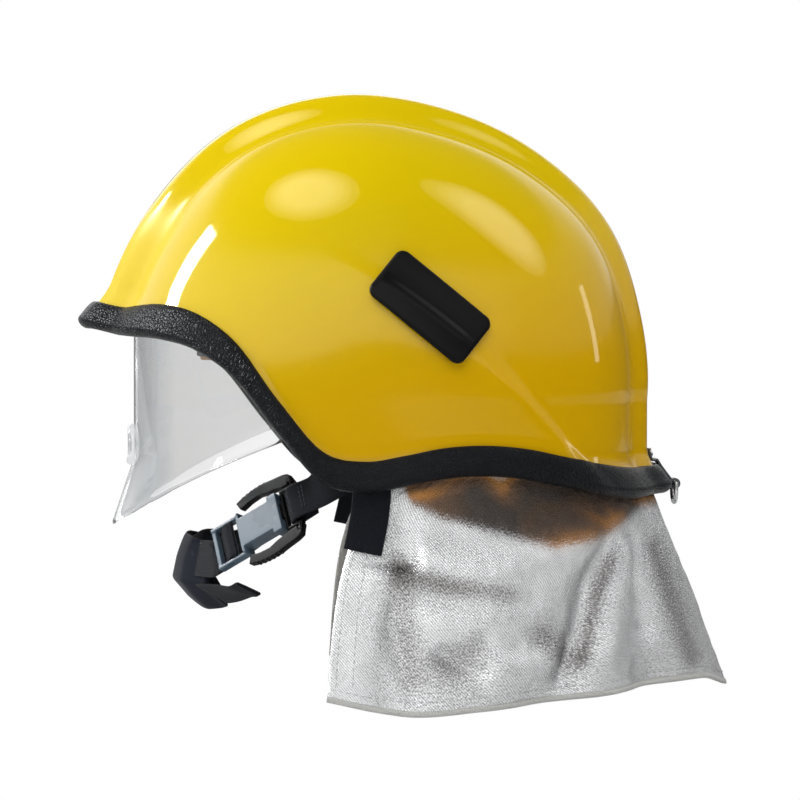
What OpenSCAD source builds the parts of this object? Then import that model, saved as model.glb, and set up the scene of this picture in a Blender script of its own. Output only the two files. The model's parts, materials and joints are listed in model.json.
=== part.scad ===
// Fire helmet with a retractable face shield, a chin strap and an aluminised neck cape.
// The helmet faces -Y, +X is the wearer's left and +Z is up. The origin is the middle of the
// headband, level with the wearer's brow.

/* [Shell] */
// Half the width of the bare dome at its widest
dome_half_w = 120; // [114:1:126]
// Thickness of the shell wall
shell_wall = 3; // [2.4:0.1:3.6]
// How square the dome is across, where 2 is an ellipse
dome_power = 2.25; // [2.1:0.05:2.4]
// Height of the comb over the dome at the front
comb_front_h = 11; // [8:0.5:12]
// Height of the comb over the dome at the back
comb_rear_h = 8; // [6:0.5:10]
// Half the width of the comb's flat top
comb_top_half_w = 18; // [14:1:22]
// Width of each of the comb's sloping sides
comb_slope_w = 20; // [14:1:26]
// Height of the step along the crease on each side
crease_step = 1.8; // [0.6:0.2:2.4]
// Extra flare of the rim at the very front
flare_front = 6.5; // [5:0.5:8]
// Flare of the rim all the way round
flare_all = 2.5; // [1.5:0.5:3.5]
// Extra flare of the rim at the back
flare_rear = 8.5; // [6:0.5:10]

/* [Edge trim] */
// How far the rubber trim reaches up both faces of the rim
trim_h = 13; // [11:0.5:14]
// Thickness of each leg of the trim
trim_leg = 2.6; // [1.8:0.1:3]
// Depth of rubber under the rim's edge
trim_foot = 3; // [2:0.5:4]

/* [Side plates] */
// Length of a side plate along the crease
plate_l = 62; // [50:1:70]
// Height of a side plate across the crease
plate_h = 30; // [24:1:36]
// Thickness of a side plate
plate_t = 3; // [2:0.2:4]
// Tilt of a side plate, falling towards the back
plate_tilt = 39.5; // [34:0.5:44]
// Radius of a side plate's corners
plate_corner_r = 5; // [3:0.5:8]
// Diameter of the studs on the back of a side plate
plate_stud_d = 4; // [3:0.2:5]
// Distance between the two studs of a side plate
plate_stud_gap = 36; // [28:1:42]

/* [Impact liner] */
// Thickness of the liner at the sides and the back
liner_t = 13.5; // [12:0.5:14]
// Gap between shell and liner that the face shield slides up into
shield_gap = 20; // [18:0.5:22]

/* [Face shield] */
// Thickness of the clear screen
screen_t = 2.5; // [2:0.1:3]
// Room between the screen and the liner at the sides
screen_room = 1; // [0.8:0.1:1.6]
// How far the nose guard stands forward at its tip
nose_push = 12.3; // [6:0.5:14]
// Thickness of a shield arm
arm_t = 3; // [2:0.2:3.4]
// Radius of a shield arm round its pivot
arm_r = 13; // [10:0.5:14]
// Diameter of the pivot screw's shank
pivot_d = 6; // [5:0.2:7]
// Thickness of a friction washer
washer_t = 1.5; // [1:0.1:2]

/* [Head harness] */
// Room between the liner and the headband at the temples
band_room = 6; // [5:0.5:8]
// Height of the headband over the brow
band_h = 30; // [24:1:32]
// Thickness of the headband
band_t = 1.6; // [1.2:0.1:2]
// Thickness of the brow pad
brow_pad_t = 4; // [3:0.5:5]
// Height of the crown straps' crossing above the brow
crown_z = 96; // [88:1:100]
// Radius of the pad under the crossing
crown_pad_r = 28; // [20:1:34]

/* [Nape ratchet] */
// Thickness of the nape band
nape_t = 1.2; // [1:0.1:1.4]
// Width of the ratchet's housing
housing_w = 52; // [44:1:56]
// Height of the ratchet's housing
housing_h = 32; // [28:1:34]
// Depth of the ratchet's housing
housing_d = 12; // [10:0.5:13]
// Radius of the ratchet's knob
knob_r = 17; // [14:0.5:18]
// Thickness of the ratchet's knob
knob_t = 9; // [7:0.5:10]
// Diameter of the ratchet's shaft
shaft_d = 6; // [5:0.5:7]

/* [Chin strap] */
// Width of the webbing
strap_w = 20; // [16:1:22]
// Thickness of the webbing
strap_t = 1.6; // [1.2:0.1:2]
// Length of the buckle's middle housing
buckle_l = 28; // [26:1:30]
// Thickness of the buckle's middle housing
buckle_t = 9; // [8:0.5:10]
// Length of the buckle's adjuster frame
ladder_l = 18.5; // [16:0.5:22]
// Thickness of the chin pad
chin_pad_t = 2.5; // [2:0.1:3]

/* [Neck cape] */
// Thickness of the cape's cloth
cape_t = 1.2; // [0.8:0.1:1.4]
// Height of the binding round the cape's lower edge
hem_h = 2.5; // [1.5:0.5:4]
// Depth of the cape's folds at the hem
fold_depth = 5; // [2:0.5:7]

/* [Rear hanger] */
// Width of the folded bracket
hanger_w = 14; // [12:0.5:16]
// Thickness of the bracket's metal
hanger_t = 1.2; // [1:0.1:1.5]
// Diameter of the ring's wire
ring_wire_d = 2.6; // [2:0.2:3]
// Width of the ring inside
ring_inner_w = 12; // [10:0.5:14]

/* [Hidden] */
$fn = 48;
// Middle of the dome, on the face shield's pivot line
O = [0, 8, -19];
// Distance from O to the top of the comb, every 20 degrees from the front over the crown to the back
SIDE_RADII = [165, 165.2, 168.6, 172.5, 169.5, 162.5, 158, 154, 145.5, 141];
// Height of the rim, every 10 degrees from the front round to the back
RIM_Z = [22, 21.7, 20.4, 18.5, 12.5, -2.5, -31, -56, -61, -58, -54, -53, -55,
    -59.5, -63.5, -66, -66.5, -65.5, -65];
RIBS = 72;
CROWN_RINGS = 14;
// The trim reaches higher in front of the ears, and less high at the back and at the very front
function trim_rise(plan) =
    let (a = folded(plan))
    trim_h * (1 + 0.15 * smooth((80 - a) / 40) - 0.35 * smooth((35 - a) / 30)
        - 0.2 * smooth((a - 140) / 35));
// Distances above the rim's edge of the shell's last rings
function rim_rings(plan) = [30, 20, trim_rise(plan), 7, 3, 0];
RIM_RING_COUNT = 6;
FLARE_REACH = 20;
// The crease lies on this circle, seen from the side
CREASE_CENTRE = [-237, -314];
CREASE_R = 434;
CREASE_RUN = 7;
seat = 0.3;
// How far the liner stays off the dome where it has no shield to clear
rear_inset = 3.5;
// Half the width of the liner outside, of the screen where the arms hold it, and of the headband
liner_half_w = dome_half_w - rear_inset - shield_gap;
screen_half_w = liner_half_w + screen_room + screen_t;
band_half_w = liner_half_w - liner_t - band_room;

function bell(x) = exp(-x * x);
function smooth(t) = let (u = min(1, max(0, t))) u * u * (3 - 2 * u);
function unit(v) = v / norm(v);
function mix(a, b, t) = a + (b - a) * t;
function middle(points) =
    [for (k = [0:2]) let (c = [for (p = points) p[k]]) c * [for (p = points) 1] / len(points)];
function catmull(a, b, c, d, t) =
    0.5 * (2 * b + (c - a) * t + (2 * a - 5 * b + 4 * c - d) * t * t + (3 * b - a - 3 * c + d) * t * t * t);
// Smooth curve through a table's rows, where s counts rows from 0
function along(rows, s) =
    let (last = len(rows) - 1, i = min(last - 1, max(0, floor(s))))
    catmull(
        i > 0 ? rows[i - 1] : 2 * rows[0] - rows[1], rows[i], rows[i + 1],
        i < last - 1 ? rows[i + 2] : 2 * rows[last] - rows[last - 1], s - i);

// Height of the comb over the dome, where a is 0 at the front, 90 at the crown and 180 at the back
function comb_h(a) = mix(comb_rear_h, comb_front_h, smooth((170 - a) / 80));
function dome_radius(a) = along(SIDE_RADII, min(180, max(0, a)) / 20) - comb_h(a);
// The dome is where the gauge of a direction from O is 1
function gauge(d) =
    let (q = d.z >= 0 ? norm([d.y, d.z]) / dome_radius(atan2(d.z, -d.y))
        : abs(d.y) / dome_radius(d.y < 0 ? 0 : 180))
    pow(pow(abs(d.x) / dome_half_w, dome_power) + pow(q, dome_power), 1 / dome_power);
function on_dome(d) = O + d / gauge(d);
function dome_normal(p) =
    let (v = p - O, e = 0.05)
    unit([
        gauge(v + [e, 0, 0]) - gauge(v - [e, 0, 0]),
        gauge(v + [0, e, 0]) - gauge(v - [0, e, 0]),
        gauge(v + [0, 0, e]) - gauge(v - [0, 0, e])]);
// Direction at a plan angle from the front and an elevation over O's level
function heading(plan, up) = [sin(plan) * cos(up), -cos(plan) * cos(up), sin(up)];
// Elevation at which the dome has the height z, found by halving
function elevation(plan, z, low = -60, high = 88, steps = 20) =
    let (m = (low + high) / 2)
    steps == 0 ? m
        : on_dome(heading(plan, m)).z > z ? elevation(plan, z, low, m, steps - 1)
        : elevation(plan, z, m, high, steps - 1);
function folded(plan) = let (a = abs(plan) % 360) a > 180 ? 360 - a : a;
function rim_z(plan) = along(RIM_Z, folded(plan) / 10);
function rim_flare(plan) =
    let (a = folded(plan))
    flare_all + flare_front * smooth((40 - a) / 40) + flare_rear * smooth((a - 125) / 45);
// Outward step below the crease, which fades in behind the brow and dies away downward
function crease(y, z) =
    let (below = CREASE_R - norm([y - CREASE_CENTRE[0], z - CREASE_CENTRE[1]]))
    crease_step * smooth(below / CREASE_RUN) * smooth((y + 50) / 60) * (1 - smooth((below - 8) / 60));

// Outer face of the shell at a plan angle and elevation, s above the rim's edge
function skin(plan, up, s) =
    let (
        base = on_dome(heading(plan, up)),
        v = base - O,
        side_angle = v.z > 0 ? atan2(v.z, -v.y) : v.y < 0 ? 0 : 180,
        outward = dome_normal(base),
        level = unit([outward.x, outward.y, 0]),
        comb_dir = v.z > 0 ? unit(v) : unit([v.x, v.y, 0]),
        bump = 1 - smooth((abs(base.x) - comb_top_half_w) / comb_slope_w))
    base + comb_dir * comb_h(side_angle) * bump + outward * crease(base.y, base.z)
        + (s < FLARE_REACH ? level * rim_flare(plan) * pow(1 - max(0, s) / FLARE_REACH, 1.6) : [0, 0, 0]);

RIB_PLAN = [for (i = [0:RIBS - 1]) i * 360 / RIBS];
RIB_UP = [for (plan = RIB_PLAN) elevation(plan, rim_z(plan))];
// Millimetres of rib for each degree of elevation near the rim
RIB_RATE = [for (i = [0:RIBS - 1])
    norm(on_dome(heading(RIB_PLAN[i], RIB_UP[i] + 4)) - on_dome(heading(RIB_PLAN[i], RIB_UP[i]))) / 4];
SKIN = [for (i = [0:RIBS - 1])
    let (levels = rim_rings(RIB_PLAN[i]), top_ring = RIB_UP[i] + levels[0] / RIB_RATE[i])
    [
        for (j = [1:CROWN_RINGS]) skin(RIB_PLAN[i], mix(90, top_ring, j / (CROWN_RINGS + 1)), 99),
        for (s = levels) skin(RIB_PLAN[i], RIB_UP[i] + s / RIB_RATE[i], s)
    ]];
RINGS = CROWN_RINGS + RIM_RING_COUNT;
SKIN_NORMAL = [for (i = [0:RIBS - 1]) [for (j = [0:RINGS - 1])
    let (
        side = SKIN[(i + 1) % RIBS][j] - SKIN[(i + RIBS - 1) % RIBS][j],
        down = SKIN[i][min(j + 1, RINGS - 1)] - SKIN[i][max(j - 1, 0)],
        n = unit(cross(down, side)))
    n * (SKIN[i][j] - O) > 0 ? n : -n]];
function wall_point(i, j, depth) = SKIN[i][j] - SKIN_NORMAL[i][j] * depth;

// Lateral position of the shell's bare outer face on the left side at (y, z)
function bare_x(y, z) =
    let (
        d = [0, y - O.y, z - O.z],
        q = d.z >= 0 ? norm([d.y, d.z]) / dome_radius(atan2(d.z, -d.y))
            : abs(d.y) / dome_radius(d.y < 0 ? 0 : 180))
    dome_half_w * pow(1 - pow(q, dome_power), 1 / dome_power) + crease(y, z);
// The same, with a depth inward along the surface's normal
function skin_x(y, z, depth = 0) =
    let (
        slope_y = (bare_x(y + 2, z) - bare_x(y - 2, z)) / 4,
        slope_z = (bare_x(y, z + 2) - bare_x(y, z - 2)) / 4)
    bare_x(y, z) - depth * norm([1, slope_y, slope_z]);

// Solid from a row of sections with the same count of points, in order round each section.
// The first half of a section's points faces the second half, so that its two ends close in strips.
module loft(sections, looped = false) {
    n = len(sections[0]);
    m = len(sections);
    ahead = middle(sections[1]) - middle(sections[0]);
    s0 = sections[0];
    c0 = middle(s0);
    turn = [for (k = [0:n - 1]) cross(s0[k] - c0, s0[(k + 1) % n] - c0)];
    spin = middle(turn) * ahead;
    sides = [for (i = [0:m - (looped ? 1 : 2)]) for (k = [0:n - 1])
        let (a = i * n + k, b = i * n + (k + 1) % n,
            c = ((i + 1) % m) * n + (k + 1) % n, d = ((i + 1) % m) * n + k)
        each [[a, c, b], [a, d, c]]];
    start = [for (k = [0:n / 2 - 2]) each [[k, k + 1, n - 2 - k], [k, n - 2 - k, n - 1 - k]]];
    end = [for (f = start) [for (k = [2:-1:0]) f[k] + (m - 1) * n]];
    faces = looped ? sides : concat(sides, start, end);
    turned_faces = spin > 0 ? faces : [for (f = faces) [f[2], f[1], f[0]]];
    polyhedron([for (s = sections) each s], turned_faces, convexity = 10);
}

// Closed dome from two grids of ribs, with a pole on each face
module dome(outer, inner, outer_pole, inner_pole) {
    ribs = len(outer);
    rings = len(outer[0]);
    count = ribs * rings;
    pole = 2 * count;
    points = concat([for (r = outer) each r], [for (r = inner) each r], [outer_pole, inner_pole]);
    faces = [for (i = [0:ribs - 1])
        let (k = (i + 1) % ribs, a = i * rings, b = k * rings)
        each concat(
            [[pole, b, a], [pole + 1, a + count, b + count]],
            [for (j = [0:rings - 2]) each [
                [a + j, b + j + 1, a + j + 1], [a + j, b + j, b + j + 1],
                [count + a + j, count + a + j + 1, count + b + j + 1],
                [count + a + j, count + b + j + 1, count + b + j]]],
            [[a + rings - 1, count + b + rings - 1, count + a + rings - 1],
                [a + rings - 1, b + rings - 1, count + b + rings - 1]])];
    polyhedron(points, faces, convexity = 10);
}

// Flat strip along a route, where each row of the route is [point, direction across the strip]
function strip(route, width, thick, steps) =
    let (
        points = [for (r = route) r[0]],
        across = [for (r = route) r[1]],
        last = (len(route) - 1) * steps)
    [for (k = [0:last])
        let (
            s = k / steps,
            p = along(points, s),
            t = unit(along(points, min(s + 0.02, len(route) - 1)) - along(points, max(s - 0.02, 0))),
            w0 = along(across, s),
            w = unit(w0 - t * (w0 * t)) * width / 2,
            n = cross(t, unit(w)) * thick / 2)
        [p + w + n, p + w - n, p - w - n, p - w + n]];

// Plate of exact solids with round corners, centred on the origin and standing on z = 0
module rounded_plate(l, w, t, r) {
    translate([-l / 2 + r, -w / 2, 0]) cube([l - 2 * r, w, t]);
    translate([-l / 2, -w / 2 + r, 0]) cube([l, w - 2 * r, t]);
    for (x = [-1, 1], y = [-1, 1]) translate([x * (l / 2 - r), y * (w / 2 - r), 0]) cylinder(h = t, r = r);
}

module on_left(x, y, z) translate([x, y, z]) rotate([0, 90, 0]) children();
module both_sides() {
    children();
    mirror([1, 0, 0]) children();
}
module on_side(left) {
    if (left) children();
    else mirror([1, 0, 0]) children();
}

// Shell, trim, side plates

rim = RINGS - 1;
PLATE_CENTRE = [21.3, 32];
stud_hole_d = plate_stud_d + 0.4;
// Places of the side plate's studs, as [y, z]
STUDS = [for (side = [-1, 1]) PLATE_CENTRE + side * plate_stud_gap / 2 * [cos(plate_tilt), -sin(plate_tilt)]];
hanger_rivet_d = 2.6;

module outer_shell() {
    color("gold") difference() {
        dome(
            [for (i = [0:RIBS - 1]) [for (j = [0:rim]) wall_point(i, j, 0)]],
            [for (i = [0:RIBS - 1]) [for (j = [0:rim]) wall_point(i, j, shell_wall)]],
            skin(0, 90, 99), skin(0, 90, 99) - [0, 0, shell_wall]);
        both_sides() for (p = STUDS) on_left(dome_half_w - 20, p[0], p[1]) cylinder(h = 40, d = stud_hole_d);
        at_hanger_rivet() cylinder(h = 20, d = hanger_rivet_d + 0.4, center = true);
    }
}

// Rubber channel pushed on the rim, which follows both faces of the shell's last rings
module edge_trim() {
    w = shell_wall;
    full = trim_leg + seat;
    lip = trim_leg * 0.8;
    outer_gap = 1.8 * seat;
    color("dimgray") loft([for (i = [0:RIBS - 1])
        let (n = SKIN_NORMAL[i][rim], edge = SKIN[i][rim], down = unit(edge - SKIN[i][rim - 1]))
        [
            wall_point(i, rim - 3, -outer_gap),
            wall_point(i, rim - 3, -lip),
            for (j = [rim - 2, rim - 1]) wall_point(i, j, -full),
            edge + down * trim_foot / 2 + n * lip,
            edge + down * trim_foot,
            edge + down * trim_foot - n * w,
            edge + down * trim_foot / 2 - n * (w + lip),
            for (j = [rim - 1, rim - 2]) wall_point(i, j, w + full),
            wall_point(i, rim - 3, w + lip),
            wall_point(i, rim - 3, w + seat),
            for (j = [rim - 2, rim - 1]) wall_point(i, j, w + seat),
            edge + down * seat - n * (w + seat),
            edge + down * seat + n * outer_gap,
            for (j = [rim - 1, rim - 2]) wall_point(i, j, -outer_gap)
        ]], looped = true);
}

// Side plate folded along the crease, with two studs that reach through the shell
plate_gap = 0.75;
module side_plate(left) {
    columns = 12;
    rows = 8;
    half_h = plate_h / 2;
    r = plate_corner_r;
    stud_l = shell_wall + bracket_t + nut_t + 7;
    color("black") on_side(left) {
        loft([for (i = [0:columns])
            let (
                a = -plate_l / 2 + plate_l * i / columns,
                into = max(0, abs(a) - plate_l / 2 + r),
                reach = half_h - r + sqrt(max(0.04, r * r - into * into)),
                place = function (b, lift)
                    let (
                        y = PLATE_CENTRE[0] + a * cos(plate_tilt) + b * sin(plate_tilt),
                        z = PLATE_CENTRE[1] - a * sin(plate_tilt) + b * cos(plate_tilt))
                    [skin_x(y, z, -lift), y, z])
            [
                for (k = [0:rows]) place(reach * (1 - 2 * k / rows), plate_gap + plate_t),
                for (k = [rows:-1:0]) place(reach * (1 - 2 * k / rows), plate_gap)
            ]]);
        for (p = STUDS)
            on_left(skin_x(p[0], p[1]) + plate_t / 2 - stud_l, p[0], p[1])
                cylinder(h = stud_l, d = plate_stud_d);
    }
}
module side_plate_left() side_plate(true);
module side_plate_right() side_plate(false);

// Push nuts on the studs, inside the shield brackets
nut_t = 1.5;
nut_r = plate_stud_d / 2 + 2.5;
// Where the bracket's slanting face lets a nut sit
function nut_x(p) =
    min([for (a = [0:45:315]) bracket_x(p[0] + nut_r * cos(a), p[1] + nut_r * sin(a))]) - nut_t - 0.1;
module side_plate_nuts() {
    color("silver") both_sides() for (p = STUDS)
        on_left(nut_x(p), p[0], p[1]) difference() {
            cylinder(h = nut_t, r = nut_r);
            translate([0, 0, -1]) cylinder(h = nut_t + 2, d = plate_stud_d + 0.1);
        }
}

// Impact liner and head harness

LINER_RIBS = 48;
LINER_RINGS = 9;
// Height of the liner's lower edge, every 60 degrees from the front round to the back
LINER_EDGE_Z = [24, 14, 0, -12];

// How much of the shield's gap is open in a direction, 1 at the front and sides and 0 at the back
function shield_room(v) = let (u = unit(v)) 1 - smooth((0.8 * u.y + 0.5 * u.z - 0.12) / 0.55);
// Extra room at the liner's front corners, where the lifted shield comes closest
function corner_room(plan, up) = 2.6 * bell((folded(plan) - 32) / 17) * smooth((70 - up) / 20);
function liner_point(plan, up, depth) =
    let (base = on_dome(heading(plan, up)), v = base - O)
    base - dome_normal(base) * (rear_inset + shield_gap * shield_room(v) + (1 - depth) * corner_room(plan, up)
        + depth * liner_depth(v));
// The liner is thicker where the shield's gap is closed
function liner_depth(v) =
    let (u = unit(v)) liner_t + shield_gap * 0.8 * (1 - shield_room(v)) - 6 * max(0, u.z);

module impact_liner() {
    grid = function (depth) [for (i = [0:LINER_RIBS - 1])
        let (plan = i * 360 / LINER_RIBS, low = elevation(plan, along(LINER_EDGE_Z, folded(plan) / 60)))
        [for (j = [1:LINER_RINGS]) liner_point(plan, mix(90, low, j / LINER_RINGS), depth)]];
    color("darkslategray") dome(grid(0), grid(1), liner_point(0, 90, 0), liner_point(0, 90, 1));
}

band_front_y = -97;
band_front_centre = -20;
band_end_y = 40;
band_side_z = 2;
band_front_z = 20;
// Middle of the front headband, from its left end round the brow to its right end
function band_z(y) = mix(band_front_z, band_side_z, smooth((y + 75) / 65));
function band_plan(a, half_w, front_y) =
    [half_w * sin(a), band_front_centre + (front_y - band_front_centre) * cos(a)];
function band_point(a, inset = 0) =
    let (p = band_plan(a, band_half_w - inset, band_front_y + inset)) [p[0], p[1], band_z(p[1])];

module headband_front() {
    half_h = function (y) mix(band_h, band_h * 0.7, smooth((y + 75) / 65)) / 2;
    stretch = band_half_w / (band_front_centre - band_front_y);
    column = function (p, out)
        [p + out + [0, 0, half_h(p.y)], p - out + [0, 0, half_h(p.y)], p - out - [0, 0, half_h(p.y)],
            p + out - [0, 0, half_h(p.y)]];
    side = function (s, y) column([s * band_half_w, y, band_z(y)], [s * band_t / 2, 0, 0]);
    color("dimgray") difference() {
        loft([
            for (y = [band_end_y, 20, 0]) side(1, y),
            for (a = [90:-7.5:-90])
                column(band_point(a), unit([sin(a), -cos(a) * stretch, 0]) * band_t / 2),
            for (y = [0, 20, band_end_y]) side(-1, y)
        ]);
        at_clips() rotate([90, 0, 0]) cylinder(h = 16, d = rivet_d + 0.1, center = true);
    }
}

// Crowned pad inside the brow's half of the headband
module brow_pad() {
    reach = 50;
    gap = band_t / 2 + seat;
    color("tan") loft([for (a = [reach:-5:-reach])
        let (
            p = band_point(a, gap),
            fade = sqrt(max(0.06, 1 - pow(a / reach, 6))),
            inward = -[sin(a), -cos(a), 0],
            h = band_h / 2 + 2)
        [for (k = [0:5]) p + [0, 0, mix(h, -h, k / 5) * mix(0.85, 1, fade)],
            for (k = [5:-1:0])
                let (v = 1 - pow(2 * k / 5 - 1, 4))
                p + inward * brow_pad_t * fade * mix(0.35, 1, v)
                    + [0, 0, mix(h, -h, k / 5) * mix(0.85, 1, fade)]
        ]]);
}

// The crown straps run from rivets on the headband, over the crown, to clips on the liner
clip_angle = 64;
clip_turn = [63.4, 135];
clip_end_z = [9, 24];
web_t = strap_t * 0.75;
clip_w = 13;
clip_h = 9;
// How far each clip stands out towards the liner
CLIP_REACH = [1.1, 4];
// Elevation at which the liner's inner face has the height z, found by halving
function liner_level(plan, z, low = -30, high = 80, steps = 16) =
    let (m = (low + high) / 2)
    steps == 0 ? m
        : liner_point(plan, m, 1).z > z ? liner_level(plan, z, low, m, steps - 1)
        : liner_level(plan, z, m, high, steps - 1);
// Points of the liner's inner face level with a rear clip's top edge, and how far they lie out past it
rear_clip_top = clip_end_z[1] + clip_h / 2;
LINER_ARC = [for (plan = [108:2:162])
    let (p = liner_point(plan, liner_level(plan, rear_clip_top), 1)) [p.x, p.y - O.y]];
// A rear clip's top edge stands just clear of the liner over its whole width
rear_clip_r = min([for (p = LINER_ARC)
    if (abs(p * [cos(clip_turn[1]), sin(clip_turn[1])]) < clip_w / 2 + 2)
        p * [sin(clip_turn[1]), -cos(clip_turn[1])]])
    - CLIP_REACH[1] - 3 * seat;
rivet_d = 3;
CROWN = [0, O.y];
// Inner corner of a clip, level with the strap's outer face, on the left side
CLIP_POINTS = [
    let (p = band_point(clip_angle, -band_t / 2 - seat)) [p.x, p.y],
    CROWN + rear_clip_r * [sin(135), cos(45)]];
// How far the strap's middle lies inside each clip's inner face
STRAP_INSET = [band_t + 4 * seat + web_t / 2, seat + web_t / 2];
function outward(turn) = [sin(turn), -cos(turn)];
function crown_end(k) = CLIP_POINTS[k] - outward(clip_turn[k]) * STRAP_INSET[k];
// Point of a crown strap along its arch, where a is 0 in front and 180 behind
function crown_point(a, side, lift) =
    let (k = a > 90 ? 1 : 0, r = (crown_end(k) - CROWN) * abs(cos(a)), s = k == 0 ? side : -side)
    [s * r.x, CROWN.y + r.y, mix(clip_end_z[k], crown_z + lift, sin(a))];
module at_clips() {
    for (side = [-1, 1], k = [0, 1])
        translate([side * CLIP_POINTS[k].x, CLIP_POINTS[k].y, clip_end_z[k]])
            rotate([0, 0, side * clip_turn[k]]) {
                $k = k;
                children();
            }
}
module crown_strap(side, lift) {
    color("black") difference() {
        loft(strip(
            [for (a = [0, 5, each [15:15:165], 175, 180])
                let (turn = mix(clip_turn[0], clip_turn[1] - 90, smooth((a - 15) / 30)))
                [crown_point(a, side, lift * pow(sin(a), 4)), [side * cos(turn), sin(turn), 0]]],
            strap_w, web_t, 2));
        at_clips() rotate([90, 0, 0]) cylinder(h = 12, d = rivet_d + 0.3, center = true);
    }
}
module crown_strap_a() crown_strap(1, 0);
module crown_strap_b() crown_strap(-1, web_t + 4 * seat);

// Pad under the straps' crossing, which droops with them
crown_pad_t = 3;
module crown_pad() {
    droop = function (r) -0.0092 * r * r;
    RADII = [for (k = [0:5]) crown_pad_r * k / 5];
    color("dimgray") translate([0, O.y, crown_z - web_t / 2 - seat]) rotate_extrude() polygon([
        for (r = RADII) [r, droop(r)],
        for (k = [5:-1:0]) [RADII[k] * 0.96, droop(RADII[k]) - crown_pad_t]]);
}

module strap_clips() {
    color("dimgray") at_clips() difference() {
        translate([-clip_w / 2, -CLIP_REACH[$k], -clip_h / 2]) cube([clip_w, CLIP_REACH[$k], clip_h]);
        rotate([90, 0, 0]) cylinder(h = 40, d = rivet_d + 0.1, center = true);
    }
}
module clip_rivets() {
    head = 1.2;
    color("silver") at_clips() translate([0, STRAP_INSET[$k] + web_t / 2 + seat, 0]) rotate([90, 0, 0]) {
        translate([0, 0, -head]) cylinder(h = head, d = rivet_d + 4);
        cylinder(h = STRAP_INSET[$k] + web_t / 2 + seat + CLIP_REACH[$k] - 0.5, d = rivet_d);
    }
}

// Nape band and ratchet

nape_half_w = band_half_w - band_t / 2 - nape_t / 2 - seat;
nape_back_y = 97;
nape_low_z = -40;
nape_start_y = -4;
guide_y = 8;
housing_front_y = nape_back_y + nape_t / 2 + seat;
cover_t = 2;
knob_gap = 0.4;
ratchet_z = nape_low_z;
function nape_z(y) = mix(band_side_z, nape_low_z, smooth((y - band_end_y - 6) / 46));
function nape_plan(a, inset = 0) =
    [(nape_half_w - inset) * sin(a), band_end_y + (nape_back_y - band_end_y - inset) * cos(a)];

module nape_band() {
    half_h = function (y) mix(6, 11, smooth((y - band_end_y - 10) / 40));
    column = function (p, out, h) let (c = [p.x, p.y, nape_z(p.y)], up = [0, 0, h])
        [c + out + up, c - out + up, c - out - up, c + out - up];
    side = function (s, y) column([s * nape_half_w, y], [s * nape_t / 2, 0, 0], half_h(y));
    stretch = nape_half_w / (nape_back_y - band_end_y);
    color("dimgray") loft([
        for (y = [nape_start_y, 20]) side(1, y),
        for (a = [90:-9:-90])
            column(nape_plan(a), unit([sin(a), cos(a) * stretch, 0]) * nape_t / 2, half_h(nape_plan(a).y)),
        for (y = [20, nape_start_y]) side(-1, y)
    ]);
}

// Loops on the headband's ends that the nape band's arms slide through
module band_guides() {
    w = 10;
    wall = 1;
    inner = nape_half_w - nape_t / 2 - seat;
    outer = band_half_w + band_t / 2 + seat;
    half_h = band_h * 0.35 + seat;
    color("dimgray") both_sides() translate([0, guide_y, band_side_z]) difference() {
        translate([inner - wall, 0, -half_h - wall])
            cube([outer - inner + 2 * wall, w, 2 * (half_h + wall)]);
        translate([inner, -1, -half_h]) cube([outer - inner, w + 2, 2 * half_h]);
    }
}

module nape_pad() {
    reach = 40;
    color("dimgray") loft([for (a = [reach:-5:-reach])
        let (fade = sqrt(max(0.06, 1 - pow(a / reach, 6))), inward = -[sin(a), cos(a), 0], h = 13)
        [
            for (k = [0:4])
                let (p = nape_plan(a, nape_t / 2 + seat))
                [p.x, p.y, nape_z(p.y) + mix(h, -h, k / 4) * mix(0.85, 1, fade)],
            for (k = [4:-1:0])
                let (p = nape_plan(a, nape_t / 2 + seat), v = 1 - pow(k / 2 - 1, 4))
                [p.x, p.y, nape_z(p.y) + mix(h, -h, k / 4) * mix(0.85, 1, fade)]
                    + inward * 3.5 * fade * mix(0.35, 1, v)
        ]]);
}

module at_ratchet(y) translate([0, y, ratchet_z]) rotate([-90, 0, 0]) children();
pinion_r = 6.5;
pinion_l = 6;
module ratchet_housing() {
    floor_t = housing_d - pinion_l - 1;
    color("dimgray") at_ratchet(housing_front_y) difference() {
        rounded_plate(housing_w, housing_h, housing_d, 6);
        translate([0, 0, floor_t]) cylinder(h = housing_d, r = pinion_r + 1.5);
        translate([0, 0, 1.5]) cylinder(h = housing_d, d = shaft_d + 0.1);
    }
}
module ratchet_cover() {
    color("black") at_ratchet(housing_front_y + housing_d) difference() {
        rounded_plate(housing_w - 2, housing_h - 2, cover_t, 5);
        translate([0, 0, -1]) cylinder(h = cover_t + 2, d = shaft_d + 0.1);
    }
}
module ratchet_pinion() {
    teeth = 10;
    color("silver") at_ratchet(housing_front_y) {
        translate([0, 0, housing_d - pinion_l - 0.5]) {
            cylinder(h = pinion_l, r = pinion_r - 1.5);
            for (k = [0:teeth - 1]) rotate([0, 0, k * 360 / teeth])
                translate([pinion_r - 2.5, -0.8, 0]) cube([2.3, 1.6, pinion_l]);
        }
        translate([0, 0, 2]) cylinder(h = housing_d + cover_t + knob_gap - 2, d = shaft_d);
    }
}
module ratchet_knob() {
    grips = 14;
    color("black") at_ratchet(housing_front_y + housing_d + cover_t + knob_gap) difference() {
        union() {
            cylinder(h = knob_t - 2, r = knob_r);
            cylinder(h = knob_t, r = knob_r - 4);
        }
        for (k = [0:grips - 1]) rotate([0, 0, k * 360 / grips])
            translate([knob_r + 1, 0, -1]) cylinder(h = knob_t + 2, r = 2.2);
    }
}

// Face shield, its arms and its pivots

// Plan of the screen's outer face, as [x, y] from the middle panel's edge back to the arms
SCREEN_PLAN = [[38, -122], [58, -107.5], [78, -87], [91.5, -61], [98, -40], [100, -22], [100, -4]];
SCREEN_FRONT_Y = -132.3;
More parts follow.
